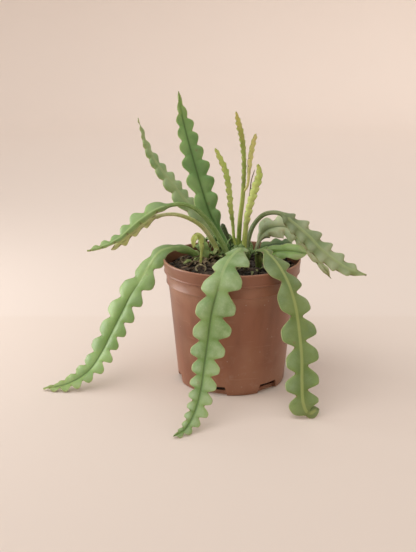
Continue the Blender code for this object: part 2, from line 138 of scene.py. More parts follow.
class Recipe:
    """One material's node tree, written as expressions."""

    def __init__(self, name: str) -> None:
        """Starts a material with a Principled shader."""
        self.material = bpy.data.materials.new(name)
        self.material.use_nodes = True
        self.tree = self.material.node_tree
        self.shader = self.tree.nodes["Principled BSDF"]

    def add(self, kind: str, settings: dict | None = None, inputs: dict | None = None,
            output: int | str = 0) -> Value:
        """Adds any node.

        Args:
            kind: the node's type, without its ShaderNode prefix.
            settings: properties of the node, which are set first.
            inputs: socket name or index to a number, colour, vector or Value.
            output: the output socket to hand back.

        Returns:
            The chosen output.
        """
        node = self.tree.nodes.new(f"ShaderNode{kind}")
        for key, value in (settings or {}).items():
            setattr(node, key, value)
        for key, value in (inputs or {}).items():
            if isinstance(value, Value):
                self.tree.links.new(value.socket, node.inputs[key])
            else:
                node.inputs[key].default_value = value
        return Value(self, node.outputs[output])

    def operate(self, operation: str, operands: tuple, clamp: bool = False) -> Value:
        """Adds one Math node on values or numbers."""
        settings = {"operation": operation, "use_clamp": clamp}
        return self.add("Math", settings, dict(enumerate(operands)))

    def mix(self, share: Value | float, low: Value | Colour, high: Value | Colour) -> Value:
        """Blends two colours.

        Args:
            share: how much of high shows, from 0 to 1.
            low: the colour underneath.
            high: the colour on top.

        Returns:
            The blended colour.
        """
        ends = [value if isinstance(value, Value) else (*value, 1.0) for value in (low, high)]
        settings = {"data_type": "RGBA", "clamp_factor": True}
        return self.add("Mix", settings, {0: share, 6: ends[0], 7: ends[1]}, 2)

    def attribute(self, name: str) -> Value:
        """A number that the mesh holds at each point."""
        return self.add("Attribute", {"attribute_name": name}, output="Fac")

    def place(self, stretch: Point = (1.0, 1.0, 1.0)) -> Value:
        """Object coordinates in metres, stretched along each axis."""
        where = self.add("TexCoord", output="Object")
        return self.add("Mapping", {}, {"Vector": where, "Scale": stretch}, "Vector")

    def cloud(self, grain_mm: float, detail: float = 3.0, rough: float = 0.55,
              where: Value | None = None) -> Value:
        """Soft noise.

        Args:
            grain_mm: size of its largest patches.
            detail: octaves of finer noise.
            rough: strength of the finer octaves.
            where: coordinates, or the object's own.

        Returns:
            The noise, around 0.5.
        """
        inputs = {"Vector": where or self.place(), "Scale": PER_METRE / grain_mm,
                  "Detail": detail, "Roughness": rough}
        return self.add("TexNoise", {}, inputs, "Fac")

    def cells(self, grain_mm: float) -> Value:
        """Distance to the nearest of scattered points, in cells."""
        inputs = {"Vector": self.place(), "Scale": PER_METRE / grain_mm}
        return self.add("TexVoronoi", {}, inputs, "Distance")

    def bump(self, height: Value, depth_mm: float, strength: float = 1.0) -> Value:
        """A normal that follows a height from 0 to 1 over a depth."""
        inputs = {"Strength": strength, "Distance": depth_mm * MM, "Height": height}
        return self.add("Bump", {}, inputs, "Normal")

    def finish(self, colour: Value, rough: Value | float, normal: Value | None = None,
               **constants: float | tuple) -> bpy.types.Material:
        """Connects the shader.

        Args:
            colour: the base colour.
            rough: the roughness.
            normal: the normal, if it is bumped.
            constants: other sockets' values, named with _ for a space.

        Returns:
            The finished material.
        """
        for socket, value in (("Base Color", colour), ("Roughness", rough), ("Normal", normal)):
            if isinstance(value, Value):
                self.tree.links.new(value.socket, self.shader.inputs[socket])
            elif value is not None:
                self.shader.inputs[socket].default_value = value
        for key, value in constants.items():
            self.shader.inputs[key.replace("_", " ")].default_value = value
        return self.material


# -------------------------------------------------------------------- finishes


@dataclass(frozen=True)
class StemSkin:
    """Waxy skin of a flat stem: greens, pale margin, midrib, waxy bloom, painted shade and painted
    highlights.
    """

    name: str
    deep: Colour
    light: Colour
    tip: Colour
    rib: Colour
    margin: Colour = (0.42, 0.45, 0.20)
    bloom_and_highlight: Colour = (0.33, 0.44, 0.29)
    bloom_and_highlight_share: float = 0.35
    tip_from: float = 0.72
    blemish: float = 0.0
    roughness: float = 0.42
    glow: float = 0.10

    def material(self) -> bpy.types.Material:
        """Builds the skin's node material."""
        r = Recipe(self.name)
        across, along, reach = r.attribute("across"), r.attribute("along"), r.attribute("reach")
        from_rib, from_edge = r.attribute("from_rib"), r.attribute("from_edge")
        vein, ridge, stalk = r.attribute("vein"), r.attribute("ridge"), r.attribute("stalk")
        broad, patch, fine = r.cloud(26, 2), r.cloud(8, 3), r.cloud(1.5, 3)
        size = abs(across)
        colour = r.mix(broad.between(0.36, 0.64), self.deep, self.light)
        # Painted shade: the blade darkens towards the midrib groove.
        colour = r.mix((1.0 - size) * (1.0 - stalk) * 0.35, colour, self.deep)
        # Painted shade along the vein grooves between the puffed lobes.
        colour = r.mix(vein * 0.22, colour, self.deep)
        tipness = (along + (patch - 0.5) * 0.25).between(self.tip_from, 1.05)
        colour = r.mix(tipness * 0.85, colour, self.tip)
        # Painted shade: the blade's start, shaded by the stem's own arch, darkens towards the stalk.
        base_shade = along.between(0.32, 0.04) * (1.0 - stalk * 0.7)
        colour = r.mix(base_shade * 0.65, colour, (*(0.6 * part for part in self.deep),))
        # Waxy bloom mixed with a painted highlight, strongest at each lobe's cushioned centre.
        cushion = reach * size * (1.35 - size) * 2.0
        wax_and_highlight = (patch - 0.18) * 1.6 * cushion + fine.between(0.50, 0.80) * 0.20
        colour = r.mix(wax_and_highlight * self.bloom_and_highlight_share, colour, self.bloom_and_highlight)
        pores = r.cells(1.1).between(0.34, 0.12)
        colour = r.mix(pores * 0.16, colour, self.margin)
        broad_blade = (from_rib + from_edge).between(2.5, 6.0)
        # Raised midrib: paler rib colour with a painted highlight along its top.
        raised_rib_and_highlight = from_rib.between(2.0, 0.7) * ridge.between(-0.2, 0.6) * broad_blade
        colour = r.mix(raised_rib_and_highlight * 0.65, colour, self.rib)
        # Painted shade in the sunk midrib groove.
        groove_shade = from_rib.between(1.3, 0.3) * ridge.between(0.2, -0.6) * broad_blade
        colour = r.mix(groove_shade * 0.70, colour, (*(0.5 * part for part in self.deep),))
        edge = from_edge.between(0.85, 0.25)
        colour = r.mix(edge * 0.60, colour, self.margin)
        areole = reach.between(0.16, 0.04) * from_edge.between(1.4, 0.5)
        colour = r.mix(areole * 0.70, colour, (0.16, 0.11, 0.05))
        corky = (r.cells(15) + (fine - 0.5) * 0.25).between(0.13, 0.06)
        colour = r.mix(corky * 0.40, colour, (0.24, 0.18, 0.09))
        streak = r.cloud(3, 3, 0.6).between(0.42, 0.66) * stalk
        colour = r.mix(streak * 0.35, colour, self.rib)
        if self.blemish:
            hurt = (r.cloud(14, 4) + size * 0.10).between(0.57, 0.66)
            colour = r.mix(hurt * self.blemish, colour, (0.33, 0.26, 0.12))
        rough = self.roughness + (patch - 0.5) * 0.22 + corky * 0.2 + edge * 0.1
        height = fine * 0.5 + pores * 0.25 + patch * 0.9
        return r.finish(
            colour, rough, r.bump(height, 0.35, 0.6), Subsurface_Weight=self.glow,
            Subsurface_Radius=(0.5, 1.0, 0.25), Subsurface_Scale=0.003, IOR=1.43,
            Coat_Weight=0.10, Coat_Roughness=0.32,
        )


@dataclass(frozen=True)
class DrySkin:
    """Dry bark of twigs, roots and stubs: streaks along the piece with darker knots."""

    name: str
    dark: Colour
    pale: Colour

    def material(self) -> bpy.types.Material:
        """Builds the bark's node material."""
        r = Recipe(self.name)
        along = r.attribute("along")
        streak = r.cloud(2.2, 4, 0.65)
        knots = r.cells(3.5).between(0.35, 0.10)
        colour = r.mix(streak.between(0.35, 0.68), self.dark, self.pale)
        colour = r.mix(knots * 0.6, colour, self.dark)
        colour = r.mix(along.between(0.92, 1.0) * 0.5, colour, self.dark)
        return r.finish(colour, 0.62 + streak * 0.3, r.bump(streak + knots * 0.6, 0.5, 0.8))


@dataclass(frozen=True)
class PotPlastic:
    """Satin brown moulded plastic with flow marks, rubbed edges, dust and lime spots, painted shade
    on its top band and painted highlights on its lip and step edges.
    """

    name: str = "pot_plastic"
    body: Colour = (0.300, 0.122, 0.068)
    shade: Colour = (0.215, 0.088, 0.048)
    rubbed: Colour = (0.46, 0.26, 0.165)
    dust: Colour = (0.46, 0.33, 0.25)

    def material(self) -> bpy.types.Material:
        """Builds the plastic's node material."""
        r = Recipe(self.name)
        height, edge_wear_and_highlight = r.attribute("height"), r.attribute("edge")
        flow = r.cloud(30, 4, 0.6, r.place((1.0, 1.0, 0.22)))
        grain = r.cloud(1.2, 4, 0.6)
        broad = r.cloud(45, 2)
        colour = r.mix(flow.between(0.35, 0.68), self.shade, self.body)
        colour = r.mix(broad.between(0.40, 0.70) * 0.30, colour, self.rubbed)
        film = r.cloud(7, 5, 0.7).between(0.52, 0.78) * height.between(0.55, 0.0)
        colour = r.mix(film * 0.40, colour, self.dust)
        spots = (r.cells(8.5) + (grain - 0.5) * 0.12).between(0.105, 0.06)
        colour = r.mix(spots * 0.42, colour, self.dust)
        scratch = r.cloud(9, 2, 0.5, r.place((0.25, 0.25, 3.0))).between(0.66, 0.72)
        colour = r.mix(scratch * 0.18, colour, self.rubbed)
        # Painted shade: the top band darkens where the rim and the overhanging stems shade it.
        colour = r.mix(height.between(0.80, 0.93) * 0.60, colour, self.shade)
        # Rubbed colour at the foot; on the lip it is rubbing mixed with painted highlight, and on
        # the step edges it is painted highlight.
        wear_and_highlight = edge_wear_and_highlight * (0.45 + (grain - 0.5) * 1.2)
        colour = r.mix(wear_and_highlight, colour, self.rubbed)
        rough = 0.40 + (flow - 0.5) * 0.20 + film * 0.25 + spots * 0.2
        relief = grain * 0.5 + flow * 0.5 + scratch * 0.3
        return r.finish(colour, rough, r.bump(relief, 0.18, 0.5), Specular_IOR_Level=0.42,
                        Subsurface_Weight=0.04, Subsurface_Scale=0.003)


@dataclass(frozen=True)
class Humus:
    """Dark damp potting mix: peat with paler crumbs, each tinted by its own tone."""

    name: str
    dark: Colour
    mid: Colour
    pale: Colour
    pale_from: float = 0.80

    def material(self) -> bpy.types.Material:
        """Builds the mix's node material."""
        r = Recipe(self.name)
        tone = r.attribute("tone")
        crumb, clod = r.cloud(1.4, 5, 0.7), r.cloud(6, 4, 0.6)
        fibre = r.cloud(3, 3, 0.6, r.place((1.0, 0.25, 1.0)))
        colour = r.mix(clod.between(0.35, 0.65), self.dark, self.mid)
        colour = r.mix(crumb.between(0.60, 0.74) * 0.35, colour, self.pale)
        colour = r.mix(tone.between(0.35, 0.75) * 0.8, colour, self.mid)
        colour = r.mix(tone.between(self.pale_from, 0.97) * 0.85, colour, self.pale)
        colour = r.mix(fibre.between(0.58, 0.75) * 0.4, colour, self.dark)
        rough = 0.95 - clod.between(0.3, 0.5) * 0.35
        return r.finish(colour, rough, r.bump(crumb + clod, 1.0, 0.9))


@dataclass(frozen=True)
class PaleBoard:
    """Plain pale studio paper: a slightly greyer sheet under the pot ends just behind it."""

    name: str = "backdrop_paper"
    wall: Colour = (0.775, 0.675, 0.605)
    floor: Colour = (0.755, 0.650, 0.575)
    sheet_end: float = 0.216

    def material(self) -> bpy.types.Material:
        """Builds the paper's node material."""
        r = Recipe(self.name)
        depth = r.add("SeparateXYZ", {}, {"Vector": r.place()}, "Y")
        mottle = r.cloud(240, 2).between(0.35, 0.65)
        colour = r.mix(mottle * 0.10, self.wall, self.floor)
        sheet = depth.between(self.sheet_end + 0.008, self.sheet_end - 0.008)
        colour = r.mix(sheet, colour, self.floor)
        return r.finish(colour, 0.85, r.bump(r.cloud(2.5, 3), 0.05, 0.3))


class Skin(Enum):
    """The skins that stems and twigs can wear."""

    LEAF = StemSkin("skin_leaf", (0.165, 0.285, 0.072), (0.270, 0.410, 0.128),
                    (0.310, 0.400, 0.110), (0.360, 0.470, 0.190))
    FRONT_LEAF = StemSkin("skin_front", (0.165, 0.285, 0.078), (0.275, 0.405, 0.135),
                          (0.140, 0.225, 0.052), (0.380, 0.490, 0.210), bloom_and_highlight_share=0.90,
                          bloom_and_highlight=(0.46, 0.58, 0.36))
    OLIVE = StemSkin("skin_olive", (0.115, 0.180, 0.040), (0.205, 0.285, 0.082),
                     (0.180, 0.225, 0.066), (0.380, 0.440, 0.150), bloom_and_highlight_share=0.32)
    TALL = StemSkin("skin_tall", (0.140, 0.285, 0.086), (0.260, 0.430, 0.150),
                    (0.235, 0.325, 0.085), (0.140, 0.250, 0.072), bloom_and_highlight_share=0.38,
                    bloom_and_highlight=(0.30, 0.44, 0.24))
    REAR = StemSkin("skin_rear", (0.215, 0.310, 0.120), (0.330, 0.410, 0.190),
                    (0.340, 0.390, 0.185), (0.340, 0.410, 0.190), bloom_and_highlight_share=0.30)
    PALE = StemSkin("skin_pale", (0.190, 0.260, 0.108), (0.330, 0.385, 0.205),
                    (0.270, 0.310, 0.105), (0.340, 0.420, 0.185), bloom_and_highlight_share=0.50,
                    bloom_and_highlight=(0.50, 0.55, 0.40))
    HURT = StemSkin("skin_hurt", (0.290, 0.370, 0.175), (0.470, 0.520, 0.310),
                    (0.330, 0.300, 0.130), (0.300, 0.390, 0.160), bloom_and_highlight_share=0.50,
                    bloom_and_highlight=(0.58, 0.63, 0.45), blemish=0.30)
    FOLDED = StemSkin("skin_folded", (0.500, 0.530, 0.190), (0.740, 0.720, 0.400),
                      (0.640, 0.600, 0.340), (0.300, 0.380, 0.130), bloom_and_highlight_share=0.05,
                      margin=(0.30, 0.34, 0.12), blemish=0.12)
    SHADED = StemSkin("skin_shaded", (0.070, 0.125, 0.036), (0.145, 0.225, 0.070),
                      (0.140, 0.200, 0.065), (0.140, 0.200, 0.070), bloom_and_highlight_share=0.12)
    BRIGHT = StemSkin("skin_bright", (0.160, 0.270, 0.060), (0.270, 0.390, 0.115),
                      (0.240, 0.300, 0.105), (0.200, 0.300, 0.090), bloom_and_highlight_share=0.18,
                      blemish=0.18)
    SHOOT = StemSkin("skin_shoot", (0.200, 0.300, 0.050), (0.430, 0.520, 0.125),
                     (0.660, 0.520, 0.160), (0.440, 0.500, 0.130), tip_from=0.45,
                     bloom_and_highlight_share=0.05, blemish=0.08, glow=0.16)
    SHOOT_GOLD = StemSkin("skin_shoot_gold", (0.540, 0.540, 0.160), (0.740, 0.690, 0.310),
                          (0.620, 0.520, 0.220), (0.560, 0.560, 0.190), tip_from=0.55,
                          bloom_and_highlight_share=0.05, glow=0.16)
    SHOOT_PALE = StemSkin("skin_shoot_pale", (0.360, 0.460, 0.100), (0.580, 0.650, 0.210),
                          (0.450, 0.470, 0.105), (0.520, 0.580, 0.180), tip_from=0.70,
                          bloom_and_highlight_share=0.05, glow=0.16)
    ROOT = DrySkin("bark_root", (0.075, 0.050, 0.028), (0.220, 0.160, 0.095))
    STUB = DrySkin("bark_stub", (0.045, 0.070, 0.025), (0.120, 0.150, 0.060))
    STALK = DrySkin("bark_stalk", (0.085, 0.110, 0.040), (0.230, 0.260, 0.120))
    CURL = DrySkin("bark_curl", (0.150, 0.120, 0.060), (0.420, 0.370, 0.210))

    def get(self) -> bpy.types.Material:
        """The skin's material, built the first time that it is asked for."""
        return bpy.data.materials.get(self.value.name) or self.value.material()


# ----------------------------------------------------------------- mesh making


def show(name: str, data: bpy.types.ID) -> bpy.types.Object:
    """Puts an object with this mesh, light or camera in the scene."""
    obj = bpy.data.objects.new(name, data)
    bpy.context.scene.collection.objects.link(obj)
    return obj


def write_number(mesh: bpy.types.Mesh, name: str, values: np.ndarray | list) -> None:
    """Stores a number at each point of a mesh, for its material to read."""
    made = mesh.attributes.new(name, "FLOAT", "POINT")
    made.data.foreach_set("value", np.asarray(values, dtype=np.float32).ravel())


def pot_axis() -> Vector:
    """The foot of the pot's axis, from the pot's box in the frame."""
    low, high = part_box("pot")
    return Vector(((low[0] + high[0]) / 2, (low[1] + high[1]) / 2, 0.0))


def smooth_route(points: list[Point], count: int) -> tuple[np.ndarray, float]:
    """Evenly spaced points along a smooth curve.

    Args:
        points: the route's points in mm.
        count: how many points to give back.

    Returns:
        The points in mm, and the curve's length in mm.
    """
    knots = [np.array(point, dtype=float) for point in points]
    knots = [2 * knots[0] - knots[1], *knots, 2 * knots[-1] - knots[-2]]
    fine = []
    for index in range(len(knots) - 3):
        a, b, c, d = knots[index:index + 4]
        for t in np.linspace(0.0, 1.0, 24, endpoint=False):
            fine.append(0.5 * (2 * b + (c - a) * t + (2 * a - 5 * b + 4 * c - d) * t**2
                               + (3 * b - a - 3 * c + d) * t**3))
    fine.append(knots[-2])
    steps = np.linalg.norm(np.diff(fine, axis=0), axis=1)
    travel = np.concatenate(([0.0], np.cumsum(steps)))
    even = np.linspace(0.0, travel[-1], count)
    columns = [np.interp(even, travel, axis) for axis in np.array(fine).T]
    return np.stack(columns, axis=1), float(travel[-1])


def unit(vectors: np.ndarray) -> np.ndarray:
    """Vectors scaled to length one."""
    return vectors / np.maximum(np.linalg.norm(vectors, axis=-1, keepdims=True), 1e-12)


def tube_faces(rows: int, loop: int) -> list[tuple[int, ...]]:
    """Faces of a closed tube.

    Args:
        rows: rings along the tube.
        loop: points in each ring.

    Returns:
        The quads between rings, and a cap at each end.
    """
    faces = []
    for row in range(rows - 1):
        for col in range(loop):
            after = (col + 1) % loop
            faces.append((row * loop + col, row * loop + after, (row + 1) * loop + after,
                          (row + 1) * loop + col))
    faces.append(tuple(range(loop - 1, -1, -1)))
    faces.append(tuple((rows - 1) * loop + col for col in range(loop)))
    return faces


def fan_faces(rings: int, steps: int) -> list[tuple[int, ...]]:
    """Faces from a middle point, which is the first, out over the rings around it.

    Args:
        rings: rings around the middle point.
        steps: points in each ring.

    Returns:
        The triangles around the middle, and the quads between rings.
    """
    faces = [(0, 1 + i, 1 + (i + 1) % steps) for i in range(steps)]
    for ring in range(rings - 1):
        a, b = 1 + ring * steps, 1 + (ring + 1) * steps
        faces += [(a + i, b + i, b + (i + 1) % steps, a + (i + 1) % steps) for i in range(steps)]
    return faces


def piece_from(name: str, points_mm: np.ndarray, faces: list, finish: bpy.types.Material,
               numbers: dict[str, np.ndarray] | None = None) -> bpy.types.Object:
    """Makes a shown piece on the pot's axis.

    Args:
        name: the piece's name.
        points_mm: its points in mm from the foot of the pot's axis.
        faces: its faces.
        finish: its material.
        numbers: what its material reads at each point.

    Returns:
        The object, riding on the plant's one body.
    """
    mesh = bpy.data.meshes.new(name)
    origin = np.array(pot_axis())
    mesh.from_pydata((points_mm * MM + origin).tolist(), [], faces)
    for key, values in (numbers or {}).items():
        write_number(mesh, key, values)
    bm = bmesh.new()
    bm.from_mesh(mesh)
    bmesh.ops.recalc_face_normals(bm, faces=bm.faces)
    bm.to_mesh(mesh)
    bm.free()
    mesh.shade_smooth()
    mesh.materials.append(finish)
    obj = show(name, mesh)
    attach(obj, BODY)
    log.info("%s: %d faces", name, len(mesh.polygons))
    return obj


# ----------------------------------------------------------------------- stems

ACROSS = np.array([0.0, 0.045, 0.10, 0.18, 0.30, 0.45, 0.61, 0.76, 0.88, 0.96, 1.0])
ROWS_PER_LOBE = 16
STALK_ROW_MM = 2.5
BLADE_GROWS = 9
LOBES_GROW = 12
TIP_ROUNDING = 14
LOBE_SIZES = (0.90, 1.07)
LOBES_AT_MOST = 64
OVER_SURFACE_MM = 0.15


@dataclass(frozen=True)
class LobeForm:
    """The outline of one lobe: where it peaks, its notch, its lean tipwards and its fullness."""

    skew: float
    power: float
    lean: float
    full: float

    def reach(self, turns: np.ndarray) -> np.ndarray:
        """How far the edge stands out, from 0 in a notch to 1 on a lobe."""
        part = (turns - np.floor(turns)) ** self.skew
        return 1 - (1 - np.sin(np.pi * part) ** self.power) ** self.full


class Lobe(Enum):
    """The lobe outlines that the stems grow."""

    ROUND = LobeForm(1.25, 1.45, 0.05, 1.75)
    KNOB = LobeForm(1.18, 1.45, 0.05, 1.90)
    SCALLOP = LobeForm(1.20, 1.10, 0.06, 1.30)
    SAW = LobeForm(2.20, 1.20, 0.12, 1.10)
    TOOTH = LobeForm(1.60, 1.10, 0.20, 1.20)


@dataclass(frozen=True)
class Edge:
    """Lobes along one edge of a blade, counted from the blade's start towards its tip."""

    lobes: float
    crowd: float = 0.0
    start: float = 0.0
    share: float = 1.0
    notch: float = 0.55
    back: float = 0.0
    late: float = 1.0

    def turns(self, blade: np.ndarray) -> np.ndarray:
        """Lobes passed at each share of the blade's length."""
        packing = 1 - self.crowd + self.crowd * blade**self.late
        return self.start + self.lobes * blade * packing


@dataclass
class FlatStem:
    """A flat lobed stem that follows its route: round stalk, midrib, and puffed thin wings."""

    node: str
    route: tuple[Point, ...]
    facing: tuple[Point, ...]
    widths: tuple[float, ...]
    plus: Edge
    minus: Edge
    stalk_length: float
    skin: Skin
    slot: str = "stem_green"
    stalk_half: float = 2.8
    stalk_thick: float = 4.6
    rooted: bool = True
    join: Point | None = None
    lobe: Lobe = Lobe.ROUND
    groove_from: float = 0.5
    rib: float = 1.0
    wing: float = 0.75
    fold: float = 0.10
    puff: float = 1.3
    wave: float = 1.0
    curl: float = 0.06
    seed: int = 1

    def _full_route(self) -> list[Point]:
        """The route with its root in the mix, or with its start inside the shoot it leaves."""
        if self.rooted:
            return [(*self.route[0], ROOT_BOTTOM), *self.route[1:]]
        return [self.join, *self.route] if self.join else list(self.route)

    def _rows(self, length: float) -> np.ndarray:
        """Each ring's distance along in mm: close where the lobes are close."""
        crowd = min(0.75, max(self.plus.crowd, self.minus.crowd, 0.0))
        count = math.ceil(max(self.plus.lobes, self.minus.lobes) * ROWS_PER_LOBE)
        share = np.linspace(0.0, 1.0, 600)
        packed = share * (1 - crowd + crowd * share)
        blade = np.interp(np.linspace(0.0, 1.0, count + 1), packed, share)
        stalk_rows = max(4, round(self.stalk_length / STALK_ROW_MM))
        stalk = np.linspace(0.0, self.stalk_length, stalk_rows, endpoint=False)
        return np.concatenate((stalk, self.stalk_length + blade * (length - self.stalk_length)))

    def _edge(self, edge: Edge, blade: np.ndarray, stalk: np.ndarray, seed: int) -> tuple:
        """One edge's outline.

        Args:
            edge: the edge's lobes.
            blade: share of the blade's length at each ring.
            stalk: half width of the stalk at each ring in mm.
            seed: the source of its unevenness.

        Returns:
            Half width in mm, reach of the lobe from 0 to 1, and lobes passed, at each ring.
        """
        chance = random.Random(seed)
        turns = edge.turns(blade)
        sizes = np.array([chance.uniform(*LOBE_SIZES) for _ in range(LOBES_AT_MOST)])
        reach = self.lobe.value.reach(turns)
        step = np.floor(turns - np.floor(edge.start)).astype(int)
        uneven = 1 + (sizes[np.clip(step, 0, LOBES_AT_MOST - 1)] - 1) * reach
        stations = np.linspace(0.0, 1.0, len(self.widths))
        full = np.interp(blade, stations, self.widths) * edge.share
        full = full * np.sqrt(np.maximum(0.0, 1 - blade**TIP_ROUNDING))
        fade = np.clip(blade * LOBES_GROW, 0.0, 1.0)
        half = full * (1 - edge.notch * fade * (1 - reach)) * uneven
        grown = np.clip(blade * BLADE_GROWS, 0.0, 1.0)
        half = np.maximum(stalk * (1 - grown) + half * grown, 0.2 * self.stalk_half)
        return half, reach * fade, turns

    def _skeleton(self) -> tuple:
        """The centre line's rings.

        Returns:
            Each ring's distance along, centre, tangent, sideways way and normal, and the length.
        """
        fine, length = smooth_route(self._full_route(), 800)
        at = self._rows(length)
        ticks = np.linspace(0.0, length, 800)
        centre = np.stack([np.interp(at, ticks, axis) for axis in fine.T], axis=1)
        slope = unit(np.gradient(fine, axis=0))
        tangent = unit(np.stack([np.interp(at, ticks, axis) for axis in slope.T], axis=1))
        anchors = np.linspace(0.0, length, len(self.facing))
        facing = np.stack([np.interp(at, anchors, axis) for axis in np.array(self.facing).T], 1)
        sideways = unit(np.cross(tangent, facing))
        return at, centre, tangent, sideways, np.cross(sideways, tangent), length

    def build(self) -> bpy.types.Object:
        """Makes the stem's mesh and puts it in the place of its node."""
        at, centre, tangent, sideways, normal, length = self._skeleton()
        blade = np.clip((at - self.stalk_length) / (length - self.stalk_length), 0.0, 1.0)
        slim = np.clip(at / max(self.stalk_length, 1e-6), 0.0, 1.0)
        stalk_half = self.stalk_half + (self.widths[0] - self.stalk_half) * slim
        plus = self._edge(self.plus, blade, stalk_half, self.seed)
        minus = self._edge(self.minus, blade, stalk_half, self.seed + 100)

        u = np.concatenate((-ACROSS[::-1], ACROSS[1:]))
        loop_u = np.concatenate((u, u[-2:0:-1]))
        face = np.concatenate((np.ones(len(u)), -np.ones(len(u) - 2)))
        face[0] = face[len(u) - 1] = 0.0
        right = (loop_u > 0)[None, :]
        half, reach, turns = (np.where(right, a[:, None], b[:, None]) for a, b in zip(plus, minus))
        size = np.abs(loop_u)[None, :]
        x = loop_u[None, :] * half
        span = blade[:, None]
        stalk = np.clip(1 - span * BLADE_GROWS, 0.0, 1.0)
        open_blade = 1 - stalk
        young = np.clip(1.2 - span, 0.35, 1.0)
        ridge = np.clip((self.groove_from - span) / 0.12, -1.0, 1.0)

        round_part = self.stalk_thick / 2 * np.sqrt(np.maximum(0.0, 1 - loop_u**2))[None, :]
        round_part = round_part * (1 + 0.09 * np.cos(3 * np.pi * loop_u)[None, :])
        wing = self.wing * young * np.sqrt(np.maximum(0.0, 1 - size**6)) * (1 - 0.3 * size)
        bump = self.rib * young * np.exp(-((x / 1.5) ** 2))
        top = np.where(ridge > 0, bump * ridge, 0.75 * bump * ridge)
        thick = stalk * round_part + open_blade * (wing + np.where(face > 0, top, 0.8 * bump))
        lift = face[None, :] * thick

        back = np.where(right, self.plus.back, self.minus.back)
        fold = -self.fold * ridge - back
        dome = self.puff * young * (0.35 + 0.65 * reach) * np.sin(np.pi * size**0.85)
        shoulder = 0.55 * self.puff * young * np.sin(np.pi * np.clip(size * 1.25, 0.0, 1.0))
        vein_at = (turns - 0.10 * (1 - size)) % 1.0
        vein = np.exp(-((np.minimum(vein_at, 1 - vein_at) / 0.09) ** 2)) * np.clip(size * 3, 0, 1)
        sheet = fold * np.abs(x) + dome + shoulder * np.clip(-ridge, 0.0, 1.0)
        sheet = sheet - 0.15 * self.puff * vein * (1 - size)
        sheet = sheet + self.wave * size**2 * np.sin(2 * np.pi * turns + self.seed)
        sheet = sheet - self.curl * half * size**4
        lift = lift + open_blade * sheet
        lean = self.lobe.value.lean * half * size**2 * reach * open_blade

        points = (centre[:, None, :] + sideways[:, None, :] * x[..., None]
                  + normal[:, None, :] * lift[..., None] + tangent[:, None, :] * lean[..., None])
        points = points.reshape(-1, 3)
        points[:, 2] = np.maximum(points[:, 2], OVER_SURFACE_MM)
        shape = half.shape
        numbers = {
            "across": np.broadcast_to(loop_u, shape),
            "along": np.broadcast_to(span, shape),
            "from_rib": np.abs(x) + stalk * 9,
            "from_edge": (1 - size) * half + stalk * 9,
            "vein": vein * open_blade,
            "reach": reach * open_blade,
            "ridge": np.broadcast_to(ridge, shape),
            "stalk": np.broadcast_to(stalk, shape),
        }
        obj = piece_from(f"{self.node}_skin", points, tube_faces(*shape), self.skin.get(), numbers)
        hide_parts(self.node)
        return obj


